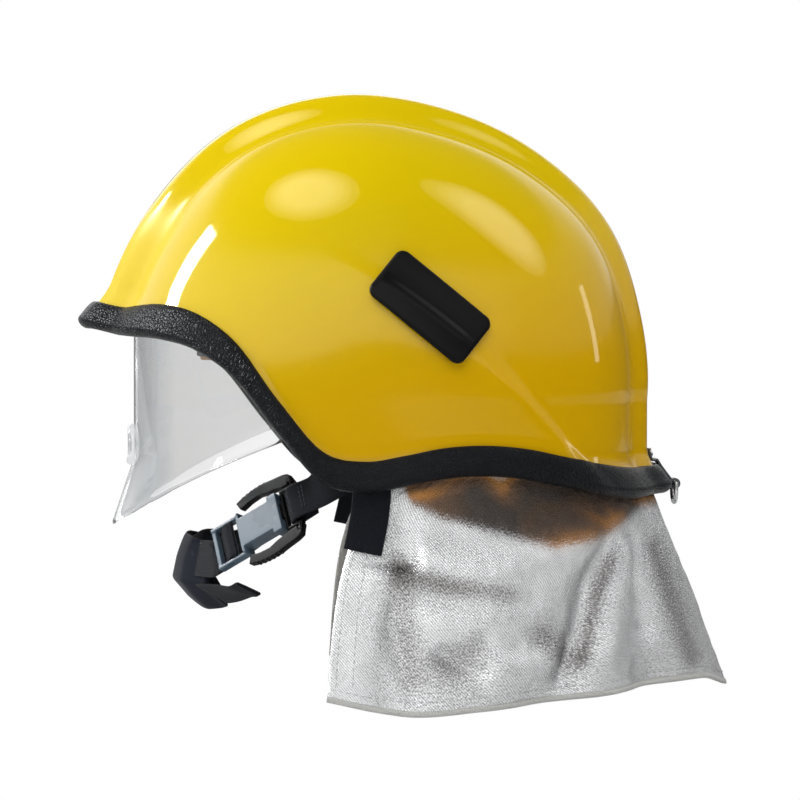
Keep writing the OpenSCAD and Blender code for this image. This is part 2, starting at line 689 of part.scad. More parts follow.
// Heights of the screen's lower and upper edges at the middle, half way over the middle panel and
// at each point of its plan
SCREEN_LOW_Z = [-87, -82, -73.5, -64, -53, -41.5, -34, -31, -30];
SCREEN_TOP_Z = [42, 42, 41, 37, 31, 24, 12, 2, -8];
SCREEN_STEPS = 3;
nose_start_z = -50;
// Shares of the screen's height, with a row where the nose guard starts
SCREEN_ROWS = [0, 0.1, 0.2, 0.2868, 0.4, 0.55, 0.7, 0.85, 1];
screen_scale = screen_half_w / SCREEN_PLAN[len(SCREEN_PLAN) - 1].x;
// Plan point of the screen, where s runs from 0 at the middle to 8 at the arms
function screen_plan(s) =
    s < 2 ? let (t = s / 2) [SCREEN_PLAN[0].x * t, mix(SCREEN_FRONT_Y, SCREEN_PLAN[0].y, pow(t, 1.5))]
        : along(SCREEN_PLAN, s - 2);
function screen_point(s, v, depth) =
    let (
        a = abs(s),
        side = s < 0 ? -1 : 1,
        p = screen_plan(a),
        t = unit(screen_plan(min(8, a + 0.05)) - screen_plan(max(0, a - 0.05))),
        z = mix(along(SCREEN_LOW_Z, a), along(SCREEN_TOP_Z, a), v),
        below = max(0, nose_start_z - z) / (nose_start_z - SCREEN_LOW_Z[0]),
        push = nose_push * below * (1 - smooth((p.x - 8) / 55)),
        inward = [-t.y, t.x] * depth)
    [side * (p.x * screen_scale + inward.x), p.y + inward.y - push, z];
module visor_screen() {
    last = 8 * SCREEN_STEPS;
    color("lightgray") difference() {
        loft([for (i = [-last:last])
            let (s = i / SCREEN_STEPS)
            [
                for (v = SCREEN_ROWS) screen_point(s, v, 0),
                for (k = [len(SCREEN_ROWS) - 1:-1:0]) screen_point(s, SCREEN_ROWS[k], screen_t)
            ]]);
        both_sides() for (p = ARM_RIVETS)
            on_left(screen_half_w - 10, p[0], p[1]) cylinder(h = 20, d = rivet_d + 0.2);
    }
}

// Finger tab on the middle of the screen: a raised oval rim round a thumb hollow
tab_w = 16;
tab_z = -40;
module visor_tab() {
    h = 3;
    color("gray") translate([0, SCREEN_FRONT_Y - seat, tab_z]) rotate([90, 0, 0]) difference() {
        union() {
            translate([-tab_w / 2, -tab_w / 2, 0]) cube([tab_w, tab_w / 2, h]);
            cylinder(h = h, d = tab_w);
        }
        translate([0, 0, 1]) cylinder(h = h, d = tab_w - 5);
    }
}

// Arms of the screen. Each is a round boss on the pivot line and a plate riveted to the screen.
arm_l = 46;
arm_end_r = 9;
arm_x = screen_half_w + seat;
ARM_RIVETS = [[O.y - 20, -16], [O.y - 34, -13]];
module visor_arm(left) {
    tip = [O.y - arm_l + arm_end_r, -12];
    color("black") on_side(left) difference() {
        union() {
            on_left(arm_x, O.y, O.z) cylinder(h = arm_t, r = arm_r);
            on_left(arm_x, tip[0], tip[1]) cylinder(h = arm_t, r = arm_end_r);
            on_left(arm_x, 0, 0) linear_extrude(arm_t) polygon([
                [-O.z - arm_r, O.y], [-tip[1] - arm_end_r, tip[0]],
                [-tip[1] + arm_end_r, tip[0]], [-O.z + arm_r, O.y]]);
        }
        on_left(arm_x - 1, O.y, O.z) cylinder(h = arm_t + 2, d = pivot_d + 0.1);
        for (p = ARM_RIVETS) on_left(arm_x - 1, p[0], p[1]) cylinder(h = arm_t + 2, d = rivet_d + 0.1);
    }
}
module visor_arm_left() visor_arm(true);
module visor_arm_right() visor_arm(false);

module arm_rivets() {
    head = 1;
    color("silver") both_sides() for (p = ARM_RIVETS) {
        on_left(arm_x - screen_t - 1.2, p[0], p[1]) cylinder(h = screen_t + arm_t + 1.2, d = rivet_d);
        on_left(arm_x + arm_t, p[0], p[1]) cylinder(h = head, d = rivet_d + 3);
    }
}

// Brackets inside the shell's walls. The side plate's studs hold each one, and it carries the
// shield's pivot and the chin strap.
bracket_t = 2;
boss_r = 7;
anchor_place = [8, -36];
// Outline of a bracket, as [height, back edge, front edge] in y, from its top down
BRACKET_ROWS = [[53, 2, 13], [46, -1, 19], [36, -1, 34], [28, -1, 43], [20, -1, 44], [12, 0, 40], [2, -1, 24],
    [-8, -1, 17], [-19, -1, 17], [-30, 0, 16], [-39, 0, 16], [-43, 4, 12]];
bracket_columns = 4;
bracket_gap = 0.95;
function bracket_x(y, z) = skin_x(y, z, shell_wall + bracket_gap + bracket_t);
pivot_plate_x = bracket_x(O.y, O.z);
washer_x = arm_x + arm_t + 0.2;
boss_x = washer_x + washer_t;
module visor_bracket(left) {
    color("gray") on_side(left) difference() {
        union() {
            loft([for (row = BRACKET_ROWS)
                let (place = function (k, depth)
                    let (y = mix(row[1], row[2], k / bracket_columns))
                    [skin_x(y, row[0], shell_wall + bracket_gap + depth), y, row[0]])
                [
                    for (k = [0:bracket_columns]) place(k, 0),
                    for (k = [bracket_columns:-1:0]) place(k, bracket_t)
                ]]);
            on_left(boss_x, O.y, O.z) cylinder(h = pivot_plate_x - boss_x + bracket_t / 2, r = boss_r);
        }
        on_left(boss_x - 1, O.y, O.z) cylinder(h = 30, d = pivot_d + 0.1);
        for (p = STUDS) on_left(dome_half_w - 25, p[0], p[1]) cylinder(h = 40, d = plate_stud_d + 0.2);
        on_left(dome_half_w - 15, anchor_place[0], anchor_place[1]) cylinder(h = 20, d = rivet_d + 0.2);
    }
}
module visor_bracket_left() visor_bracket(true);
module visor_bracket_right() visor_bracket(false);

module visor_pivot_screws() {
    head_t = 2;
    color("silver") both_sides() {
        on_left(arm_x - 0.3 - head_t, O.y, O.z) difference() {
            cylinder(h = head_t, d = pivot_d + 5);
            translate([-0.6, -4, -1]) cube([1.2, 8, 1.8]);
        }
        on_left(arm_x - 0.3, O.y, O.z) cylinder(h = pivot_plate_x - arm_x + 0.3 + bracket_t / 2, d = pivot_d);
    }
}
module friction_washers() {
    color("white") both_sides() on_left(washer_x, O.y, O.z) difference() {
        cylinder(h = washer_t, r = boss_r + 2);
        translate([0, 0, -1]) cylinder(h = washer_t + 2, d = pivot_d + 0.1);
    }
}

// Chin strap. The buckle's own directions are: x out of its face, y along the strap towards the
// shell and z across the strap.

buckle_turn = [30, -18.5, -43.7];
BUCKLE = [dome_half_w - 41, -64, -82.5];
module at_buckle() translate(BUCKLE) rotate(buckle_turn) children();
function turned(v) =
    let (
        a = buckle_turn,
        x = [v.x, v.y * cos(a.x) - v.z * sin(a.x), v.y * sin(a.x) + v.z * cos(a.x)],
        y = [x.x * cos(a.y) + x.z * sin(a.y), x.y, x.z * cos(a.y) - x.x * sin(a.y)])
    [y.x * cos(a.z) - y.y * sin(a.z), y.x * sin(a.z) + y.y * cos(a.z), y.z];
function buckle_point(v) = BUCKLE + turned(v);
buckle_across = turned([0, 0, 1]);

half_buckle = strap_w / 2 + 2;
buckle_w = 2 * half_buckle;
front_y = buckle_l / 2;
male_bar_y = front_y + 7.5;
bar_d = 3.2;
side_arm_t = 4.2;
arm_pin_d = 2.4;
// Where a side arm turns, as [along the strap, across it]
ARM_PIN = [front_y + 9, half_buckle + 2.6];
web_lift = bar_d / 2 + 2 * seat + strap_t / 2;
anchor_x = bracket_x(anchor_place[0], anchor_place[1]) - strap_t / 2 - seat;
// Short leg from the anchor, round the buckle's bar and back, as places and directions across
LEG = [
    [[anchor_x, 10.5, -35.2], [0, 0.45, -0.9]],
    [[anchor_x, 3.5, -38.8], [0, 0.46, -0.89]],
    [[anchor_x - 2.8, -4.5, -43], [0, 0.48, -0.88]],
    [[anchor_x - 6, -14.5, -49], [-0.05, 0.5, -0.86]],
    [[anchor_x - 11, -31, -60], -mix([0, -0.5, 0.86], buckle_across, 0.5)],
    [buckle_point([1, male_bar_y + 14, 0]), -buckle_across],
    [buckle_point([web_lift + 0.3, male_bar_y + 4, 0]), -buckle_across],
    [buckle_point([web_lift, male_bar_y, 0]), -buckle_across],
    [buckle_point([0, male_bar_y - web_lift, 0]), -buckle_across],
    [buckle_point([-web_lift, male_bar_y, 0]), -buckle_across],
    [buckle_point([-web_lift, male_bar_y + 5, 0]), -buckle_across],
    [buckle_point([-web_lift + 0.4, male_bar_y + 12, 0]), -buckle_across]];
module chin_strap_left() {
    color("black") difference() {
        loft(strip(LEG, strap_w, strap_t, 3));
        anchor_hole();
    }
}
module anchor_hole()
    on_left(anchor_x - 10, anchor_place[0], anchor_place[1]) cylinder(h = 20, d = rivet_d + 0.2);

// The male half: a bar for the webbing, a tongue, and the pins that the two side arms bend on
module buckle_male() {
    cheek_t = 1.6;
    color("black") at_buckle() {
        translate([0, male_bar_y, 1 - half_buckle]) cylinder(h = buckle_w - 2, d = bar_d);
        for (s = [-1, 1]) translate([0, 0, s * (half_buckle - cheek_t / 2)])
            translate([-2, front_y + 0.6, -cheek_t / 2]) cube([3.4, 10.5, cheek_t]);
        translate([-2, front_y + 0.6, 1 - half_buckle]) cube([3.4, 1.6, buckle_w - 2]);
        translate([-1.6, -4, -4]) cube([3.2, front_y + 5, 8]);
        for (s = [-1, 1]) {
            translate([-side_arm_t / 2, ARM_PIN[0], s * ARM_PIN[1]]) rotate([0, 90, 0])
                cylinder(h = side_arm_t, d = arm_pin_d);
            translate([-2, ARM_PIN[0] - 0.6, s > 0 ? half_buckle - 1 : -ARM_PIN[1]])
                cube([3.4, 1.2, ARM_PIN[1] - half_buckle + 1]);
        }
    }
}

// Sprung side arm that bows out round the housing, with grip ribs on its back
module release_arm(s) {
    ribs = 6;
    back = function (y) half_buckle + 9.2 - pow((y - 3) / 10, 2) + 1.2 * smooth((y - 12) / 10);
    color("black") at_buckle() mirror([0, 0, s > 0 ? 0 : 1]) difference() {
        union() {
            translate([side_arm_t / 2, 0, 0]) rotate([0, -90, 0]) linear_extrude(side_arm_t) polygon([
                [half_buckle + 0.7, front_y + 11.5], [half_buckle + 0.9, front_y + 3],
                [half_buckle + 1.6, front_y],
                [half_buckle + 2.4, front_y - 6], [half_buckle + 4, 2], [half_buckle + 3.5, -5],
                [half_buckle + 2, -11], for (y = [-13:3:front_y + 11]) [back(y), y]]);
            for (k = [0:ribs - 1]) let (y = -8 + 3 * k)
                translate([-side_arm_t / 2, y, back(y) - 0.4]) rotate([0, 90, 0])
                    cylinder(h = side_arm_t, r = 0.8);
        }
        translate([-side_arm_t, ARM_PIN[0], ARM_PIN[1]]) rotate([0, 90, 0])
            cylinder(h = 2 * side_arm_t, d = arm_pin_d + 0.1);
        translate([-side_arm_t, ARM_PIN[0] - 1.4, half_buckle])
            cube([2 * side_arm_t, 2.8, ARM_PIN[1] - half_buckle]);
    }
}
module release_arm_upper() release_arm(1);
module release_arm_lower() release_arm(-1);

// The female half: the housing that the tongue enters and the adjuster frame for the long strap
ladder_bar_y = -front_y - 7;
ladder_end_y = -front_y - ladder_l;
module buckle_female() {
    rail_t = 1.8;
    rail_z = strap_w / 2 + 0.4 + rail_t;
    end_bar_t = 2.6;
    color("slategray") at_buckle() difference() {
        union() {
            translate([-buckle_t / 2, 0, 0]) rotate([0, 90, 0])
                rounded_plate(buckle_w, buckle_l, buckle_t, 2);
            for (s = [-1, 1]) translate([-2.5, ladder_end_y, s > 0 ? rail_z - rail_t : -rail_z])
                cube([5, ladder_l + 1, rail_t]);
            translate([0, ladder_bar_y, -rail_z + 1]) cylinder(h = 2 * rail_z - 2, d = bar_d);
            translate([-2, ladder_end_y, -rail_z + 1]) cube([4, end_bar_t, 2 * rail_z - 2]);
        }
        translate([-2.1, -8, -4.6]) cube([4.2, front_y + 9, 9.2]);
        for (s = [-1, 1]) translate([-buckle_t, 2 - front_y, s > 0 ? half_buckle - 3.6 : -half_buckle - 5])
            cube([2 * buckle_t, buckle_l - 8, 8.6]);
        for (s = [-1, 1]) translate([-buckle_t, 0, s > 0 ? half_buckle - 1 : -half_buckle - 5])
            cube([2 * buckle_t, front_y + 1, 6]);
    }
}

// Long strap from the adjuster round the chin and up to the far anchor
chin_y = -103.6;
far_shift = [0, 14, -5];
function mirrored(p) = [-p.x, p.y, p.z];
CHIN_ACROSS = [0, -0.26, -0.97];
LONG_STRAP = [
    [buckle_point([web_lift, ladder_bar_y + 3, 0]), -buckle_across],
    [buckle_point([web_lift, ladder_bar_y - 1, 0]), -buckle_across],
    [buckle_point([0, ladder_bar_y - 5.2, 0]), -buckle_across],
    [buckle_point([-web_lift - 0.9, ladder_end_y + 2.4, 0]), -buckle_across],
    [buckle_point([-web_lift - 1.3, ladder_end_y - 1.5, 0]), -buckle_across],
    [buckle_point([-4.4, ladder_end_y - 6, 0]), -buckle_across],
    [[42, -95.6, -103], mix(-buckle_across, CHIN_ACROSS, 0.7)],
    [[22, chin_y + 2.4, -103.5], CHIN_ACROSS],
    [[0, chin_y, -103.5], CHIN_ACROSS],
    [[-22, chin_y + 3.4, -103.5], CHIN_ACROSS],
    [[-44, -93, -102], mix(-mirrored(buckle_across), CHIN_ACROSS, 0.6)],
    [mirrored(buckle_point([0, ladder_end_y, 0])) + far_shift, -mirrored(buckle_across)],
    [mirrored(buckle_point([0, 0, 0])) + far_shift, -mirrored(buckle_across)],
    [mirrored(buckle_point([1, male_bar_y + 6, 0])) + far_shift, -mirrored(buckle_across)],
    [[-anchor_x + 6, -10.5, -52.5], [0.05, 0.5, -0.86]],
    [[-anchor_x + 2.6, -3, -44], [0, 0.48, -0.88]],
    [[-anchor_x, 3.5, -38.8], [0, 0.46, -0.89]],
    [[-anchor_x, 10.5, -35.2], [0, 0.45, -0.9]]];
module chin_strap_right() {
    color("black") difference() {
        loft(strip(LONG_STRAP, strap_w, strap_t, 3));
        mirror([1, 0, 0]) anchor_hole();
    }
}
module anchor_rivets() {
    head = 1.2;
    inner_x = anchor_x - strap_t / 2 - seat;
    color("silver") both_sides() on_left(inner_x, anchor_place[0], anchor_place[1]) {
        translate([0, 0, -head]) cylinder(h = head, d = rivet_d + 5);
        cylinder(h = strap_t + 2 * seat + bracket_t, d = rivet_d);
    }
}

// Folded chin pad in front of the long strap, as [y, z] of its top, its fold and its lower lip
PAD_FOLD = [[-104.5, -91], [-109, -104], [-111.5, -116], [-103, -126], [-95, -133]];
PAD_REACH = 46;
module chin_pad() {
    color("black") loft([for (x = [PAD_REACH:-PAD_REACH / 6:-PAD_REACH])
        let (
            back = 9.5 * pow(x / PAD_REACH, 2) + (x < 0 ? -1.5 * x / PAD_REACH : 0),
            shrink = 1 - 0.25 * pow(x / PAD_REACH, 4),
            fold = PAD_FOLD[2],
            at = function (k, depth) let (
                p = fold + (PAD_FOLD[k] - fold) * shrink,
                t = unit(PAD_FOLD[min(4, k + 1)] - PAD_FOLD[max(0, k - 1)]))
                [x, p[0] - t[1] * depth + back, p[1] + t[0] * depth])
        [for (k = [0:4]) at(k, 0), for (k = [4:-1:0]) at(k, chin_pad_t)]]);
}
// Free end of the long strap, which lies in the pad's fold and hangs out behind it
TAIL = [
    [[20, -98, -120.5], [0.1, 0.75, -0.66]],
    [[38, -92.5, -122], [0.1, 0.8, -0.6]],
    [[54, -84, -121], [0.2, 0.85, -0.45]],
    [[68, -76, -119], [0.1, 0.8, -0.15]],
    [[74, -71.5, -117], [0.1, 0.7, -0.1]]];
module strap_tail() {
    color("black") loft(strip(TAIL, strap_w * 0.8, strap_t, 3));
}

// Webbing tabs that hang from the rim in front of the cape
TAB = [
    [[-1.7, -14, -36], 0], [[-1.7, -13, -43], 0], [[-3.6, -11.5, -49], 0], [[-2.8, -9.5, -58], 0],
    [[-1.3, -9, -66], 0], [[0.8, -10.8, -80], 0], [[2.6, -14, -95], 12]];
module throat_tab(left) {
    wall_x = skin_x(-12, -45, shell_wall);
    color("black") on_side(left)
        loft(strip(
            [for (r = TAB) [r[0] + [wall_x, 0, 0], [0.06, cos(r[1]), -sin(r[1])]]],
            strap_w, strap_t, 3));
}
module throat_tab_left() throat_tab(true);
module throat_tab_right() throat_tab(false);

// Neck cape

// Hem of one half of the cape in plan, from the middle of the back to the front corner
HEM_PLAN = [[0, 195], [40, 174.5], [68, 146], [92, 113], [109, 80], [120, 47], [127, 8], [126, -33]];
HEM_Z = [-176, -168.5, -169.5, -172, -174.5, -177, -179, -171];
cape_columns = 44;
CAPE_FRONT_PLAN = 87;
// Rows of the cape, from its top edge at 0 to the rim at 1 and the hem at 2
CAPE_ROWS = [0, 0.35, 0.65, 1, 1.06, 1.14, 1.25, 1.4, 1.55, 1.7, 1.85, 2];
TAB_TOP_S = 4;
BAND_TOP_S = 26;
// Folds as [place along the half hem, width, share of the fold's depth]
FOLDS = [[0.885, 0.035, -0.9], [0.72, 0.09, 0.5], [0.56, 0.06, -0.6], [0.42, 0.07, 0.8], [0.29, 0.05, -0.9],
    [0.17, 0.06, 0.6]];
function fold_lift(a, v) =
    fold_depth * pow(v, 1.4) * [for (f = FOLDS) f[2]] * [for (f = FOLDS) bell((a - f[0]) / f[1])];
function rim_level(plan) = unit([sin(plan), -cos(plan), 0]);
function skin_at(plan, s) = skin(plan, elevation(plan, rim_z(plan) + s), s);
// Point of the cape, where c runs from -1 to 1 round the back
function cape_point(c, row, depth) =
    let (
        a = abs(c),
        side = c < 0 ? -1 : 1,
        plan = mix(180, CAPE_FRONT_PLAN, a),
        out = dome_normal(on_dome(heading(plan, -20))),
        inset = shell_wall + trim_leg + seat,
        rim_p = skin_at(plan, 0) - out * (inset + mix(1.8, 3.6, smooth(a * 2)) - depth),
        top_s = mix(BAND_TOP_S, TAB_TOP_S, smooth((a - 0.6) / 0.25)),
        upper_p = skin_at(plan, top_s * (1 - min(1, row)))
            - out * (inset + mix(1.6, 3.6, smooth(a * 2) * row) - depth),
        hem_p = along(HEM_PLAN, a * 7),
        v = max(0, row - 1),
        flat = pow(v, 0.92),
        lift = fold_lift(a, v) + depth,
        forward = -12 * sin(180 * pow(v, 0.6)) * smooth((a - 0.7) / 0.3),
        p = row < 1 ? upper_p
            : [mix(rim_p.x, hem_p.x, flat), mix(rim_p.y, hem_p.y, flat) + forward, 0]
                + out * (lift - depth * (1 - flat)))
    [side * p.x, p.y, row < 1 ? p.z : mix(rim_z(plan) - 4, along(HEM_Z, a * 7), v)];
module neck_cape() {
    color("silver") loft([for (i = [0:cape_columns])
        let (c = 1 - 2 * i / cape_columns)
        [
            for (r = CAPE_ROWS) cape_point(c, r, 0),
            for (k = [len(CAPE_ROWS) - 1:-1:0]) cape_point(c, CAPE_ROWS[k], -cape_t)
        ]]);
}
// Binding sewn along the cape's lower edge
module cape_hem() {
    t = 0.5;
    color("whitesmoke") loft([for (i = [0:cape_columns])
        let (c = 1 - 2 * i / cape_columns, out = cape_point(c, 2, t), in = cape_point(c, 2, -cape_t - t))
        [out - [0, 0, 0.1], out - [0, 0, hem_h], in - [0, 0, hem_h], in - [0, 0, 0.1]]]);
}
// Hook-and-loop bands that hold the cape inside the shell, above the trim
module cape_bands() {
    steps = 10;
    color("black") both_sides() loft([for (i = [0:steps])
        let (plan = mix(106, 172, i / steps), out = dome_normal(on_dome(heading(plan, -20))))
        [for (s = [BAND_TOP_S - 1, trim_h + 1.5]) skin_at(plan, s) - out * (shell_wall + 4 * seat),
            for (s = [trim_h + 1.5, BAND_TOP_S - 1])
                skin_at(plan, s) - out * (shell_wall + trim_leg + 3 * seat)]]);
}

// Rear hanger

HANG_RIB = RIBS / 2;
function hang_skin(s) = skin(180, RIB_UP[HANG_RIB] + s / RIB_RATE[HANG_RIB], s);
function hang_normal(s) = let (t = hang_skin(s + 1) - hang_skin(s - 1)) unit([0, t.z, -t.y]);
over_trim = trim_leg + 2 * seat + hanger_t / 2 + 0.1;
on_shell = 3 * seat + hanger_t / 2;
jog_s = trim_rise(180) + 0.4;
// The rivet stands square to the shell's flared wall, with z out of the wall
rivet_s = jog_s + 5.2;
module at_hanger_rivet() {
    n = hang_normal(rivet_s);
    translate(hang_skin(rivet_s)) rotate([atan2(n.z, n.y) - 90, 0, 0]) children();
}
// Middle of the bracket's metal, as [distance above the rim, height over the shell, tilt of its thickness]
HANGER_LINE = [[jog_s + 8.4, on_shell, 0], [jog_s + 3, on_shell, 0], [jog_s + 1, on_shell, 36],
    [jog_s, over_trim, 36], [7, over_trim, 0], [3, over_trim, 0], [0, over_trim, 0]];
knuckle_r = 3;
knuckle_w = 8;
KNUCKLE = hang_skin(0) + hang_normal(0) * (over_trim + knuckle_r - hanger_t / 2) + [0, 0, -3];
module rear_bracket() {
    color("dimgray") difference() {
        union() {
            loft([for (q = HANGER_LINE)
                let (
                    n = hang_normal(q[0]),
                    x = [hanger_w / 2, 0, 0],
                    up = [0, -n.z, n.y],
                    t = (n + up * tan(q[2])) * hanger_t / 2,
                    c = hang_skin(q[0]) + n * q[1])
                [c + t + x, c + t - x, c - t - x, c - t + x]]);
            translate([-knuckle_w / 2, KNUCKLE.y, KNUCKLE.z]) rotate([0, 90, 0])
                cylinder(h = knuckle_w, r = knuckle_r);
        }
        translate([-knuckle_w, KNUCKLE.y, KNUCKLE.z]) rotate([0, 90, 0])
            cylinder(h = 2 * knuckle_w, d = ring_wire_d + 0.6);
        at_hanger_rivet() cylinder(h = 20, d = hanger_rivet_d + 0.2, center = true);
    }
}
module bracket_rivet() {
    head = 1.2;
    face = on_shell + hanger_t / 2 + 0.3;
    color("silver") at_hanger_rivet() {
        translate([0, 0, face]) cylinder(h = head, d = hanger_rivet_d + 2);
        translate([0, 0, -shell_wall - 1]) cylinder(h = shell_wall + 1 + face, d = hanger_rivet_d);
    }
}
module hanging_ring() {
    r = ring_inner_w / 2 + ring_wire_d / 2;
    leg = 3;
    color("silver") translate(KNUCKLE) {
        rotate([0, 90, 0]) cylinder(h = 2 * r, d = ring_wire_d, center = true);
        for (s = [-1, 1]) {
            translate([s * r, 0, 0]) sphere(d = ring_wire_d);
            translate([s * r, 0, -leg]) cylinder(h = leg, d = ring_wire_d);
        }
        translate([0, 0, -leg]) rotate([-90, 0, 0]) rotate_extrude(angle = 180)
            translate([r, 0]) circle(d = ring_wire_d);
    }
}

outer_shell();
edge_trim();
side_plate_left();
side_plate_right();
side_plate_nuts();
impact_liner();
headband_front();
brow_pad();
band_guides();
crown_strap_a();
crown_strap_b();
crown_pad();
strap_clips();
clip_rivets();
visor_bracket_left();
visor_bracket_right();
visor_pivot_screws();
friction_washers();
chin_strap_left();
chin_strap_right();
anchor_rivets();
buckle_female();
chin_pad();
strap_tail();
throat_tab_left();
throat_tab_right();
neck_cape();
cape_hem();
cape_bands();
rear_bracket();
bracket_rivet();
visor_screen();
visor_tab();
visor_arm_left();
visor_arm_right();
arm_rivets();
nape_band();
nape_pad();
ratchet_housing();
ratchet_cover();
ratchet_knob();
ratchet_pinion();
buckle_male();
release_arm_upper();
release_arm_lower();
hanging_ring();
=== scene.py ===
import json

import bmesh
import bpy
import numpy as np
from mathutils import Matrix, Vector, noise

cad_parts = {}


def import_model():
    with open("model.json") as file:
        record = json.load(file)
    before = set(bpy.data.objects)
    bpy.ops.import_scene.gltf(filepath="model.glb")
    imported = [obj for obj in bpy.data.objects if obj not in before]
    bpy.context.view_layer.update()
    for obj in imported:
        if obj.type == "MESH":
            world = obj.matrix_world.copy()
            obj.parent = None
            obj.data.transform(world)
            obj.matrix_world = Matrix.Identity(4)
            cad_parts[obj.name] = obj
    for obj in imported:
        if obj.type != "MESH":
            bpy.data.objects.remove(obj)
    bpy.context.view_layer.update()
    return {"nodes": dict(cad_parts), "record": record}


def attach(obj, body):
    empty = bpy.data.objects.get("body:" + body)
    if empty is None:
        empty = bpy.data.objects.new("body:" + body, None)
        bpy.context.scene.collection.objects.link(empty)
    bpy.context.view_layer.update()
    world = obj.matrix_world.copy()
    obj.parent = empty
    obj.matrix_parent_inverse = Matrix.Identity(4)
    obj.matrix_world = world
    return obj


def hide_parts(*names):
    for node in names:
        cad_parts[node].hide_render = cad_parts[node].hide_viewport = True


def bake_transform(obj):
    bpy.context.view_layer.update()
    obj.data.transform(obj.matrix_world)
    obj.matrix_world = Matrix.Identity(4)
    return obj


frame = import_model()
NODES = frame["nodes"]
SLOT_OF = {part["node"]: part["material_slot"] for part in frame["record"]["subparts"]}
BODIES = frame["record"]["behaviour"]["bodies"]
MM = 0.001


# Curves and small helpers. Lengths are in millimetres until a mesh is made.

def smooth(t):
    t = np.clip(t, 0, 1)
    return t * t * (3 - 2 * t)


def mix(a, b, t):
    return a + (b - a) * t


def bell(x):
    return np.exp(-x * x)


def unit(v):
    v = np.asarray(v, float)
    return v / np.maximum(np.linalg.norm(v, axis=-1, keepdims=True), 1e-9)


def sind(a):
    return np.sin(np.radians(a))


def cosd(a):
    return np.cos(np.radians(a))


def arrays(*values):
    """The values as number arrays of one shape."""
    return np.broadcast_arrays(*(np.asarray(v, float) for v in values))


def run_along(points):
    """Distance of each point from the first, along the line through them."""
    return np.concatenate([[0], np.cumsum(np.linalg.norm(np.diff(points, axis=0), axis=-1))])


def along(rows, s):
    """Smooth curve through the rows, where s counts them from 0."""
    rows = np.asarray(rows, float)
    s = np.asarray(s, float)
    last = len(rows) - 1
    padded = np.concatenate([[2 * rows[0] - rows[1]], rows, [2 * rows[last] - rows[last - 1]]])
    i = np.clip(np.floor(s).astype(int), 0, last - 1)
    t = s - i
    if rows.ndim > 1:
        t = t[..., None]
    a, b, c, d = (padded[i + k] for k in range(4))
    square, cube = 2 * a - 5 * b + 4 * c - d, 3 * b - a - 3 * c + d
    return 0.5 * (2 * b + (c - a) * t + square * t * t + cube * t ** 3)


def wander(points, scale, seed):
    """Smooth noise from -1 to 1 at each point."""
    shift = Vector((seed, seed * 1.7, -seed))
    values = [noise.noise(Vector(p) + shift) for p in points.reshape(-1, 3) * scale]
    return np.array(values).reshape(points.shape[:-1])


# The helmet's surface, as the part's source has it

MIDDLE = np.array([0.0, 8.0, -19.0])
HALF_W, POWER, WALL = 120.0, 2.25, 3.0
SIDE_RADII = [165, 165.2, 168.6, 172.5, 169.5, 162.5, 158, 154, 145.5, 141]
RIM_Z = [22, 21.7, 20.4, 18.5, 12.5, -2.5, -31, -56, -61, -58, -54, -53, -55, -59.5, -63.5, -66,
         -66.5, -65.5, -65]
COMB_HALF, COMB_SLOPE = 18, 20
CREASE_R, CREASE_Y, CREASE_Z, CREASE_H = 434, -237, -314, 1.8
FLARE_H = 20
TRIM_H, TRIM_LEG, TRIM_FOOT = 13.0, 2.6, 3.0
SEAT = 0.3
LEVEL = np.array([1, 1, 0])


def comb_height(a):
    return mix(8.0, 11.0, smooth((170 - a) / 80))


def dome_radius(a):
    return along(SIDE_RADII, np.clip(a, 0, 180) / 20) - comb_height(a)


def gauge(d):
    """1 where a point that lies d from the dome's middle is on the bare dome, and less inside it."""
    x, y, z = np.abs(d[..., 0]), d[..., 1], d[..., 2]
    high = np.hypot(y, z) / dome_radius(np.degrees(np.arctan2(np.maximum(z, 0), -y)))
    low = np.abs(y) / np.where(y < 0, dome_radius(0.0), dome_radius(180.0))
    return ((x / HALF_W) ** POWER + np.where(z >= 0, high, low) ** POWER) ** (1 / POWER)


def on_dome(d):
    return MIDDLE + d / gauge(d)[..., None]


def dome_normal(p):
    v = p - MIDDLE
    steps = np.eye(3) * 0.05
    return unit(np.stack([gauge(v + k) - gauge(v - k) for k in steps], -1))


def outward_unit(n, p):
    """Unit vectors along n, turned away from the dome's middle."""
    n = unit(n)
    return np.where(np.sum(n * (p - MIDDLE), -1, keepdims=True) > 0, n, -n)


def heading(plan, up):
    """Direction at a plan angle from the front and an elevation."""
    return np.stack([sind(plan) * cosd(up), -cosd(plan) * cosd(up), sind(up) + 0 * plan], -1)


def elevation(plan, z):
    """Elevation at which the bare dome has the height z, found by halving."""
    low, high = np.full(np.shape(plan), -60.0), np.full(np.shape(plan), 88.0)
    for _ in range(20):
        m = (low + high) / 2
        above = on_dome(heading(plan, m))[..., 2] > z
        high, low = np.where(above, m, high), np.where(above, low, m)
    return (low + high) / 2


def rise_rate(plan, up):
    """Millimetres of the bare dome to a degree of elevation."""
    return np.linalg.norm(on_dome(heading(plan, up + 4)) - on_dome(heading(plan, up)), axis=-1) / 4


def folded(plan):
    a = np.abs(plan) % 360
    return np.where(a > 180, 360 - a, a)


def rim_z(plan):
    return along(RIM_Z, folded(plan) / 10)


def rim_flare(plan):
    a = folded(plan)
    return 2.5 + 6.5 * smooth((40 - a) / 40) + 8.5 * smooth((a - 125) / 45)


def crease(y, z):
    below = CREASE_R - np.hypot(y - CREASE_Y, z - CREASE_Z)
    return CREASE_H * smooth(below / 7) * smooth((y + 50) / 60) * (1 - smooth((below - 8) / 60))


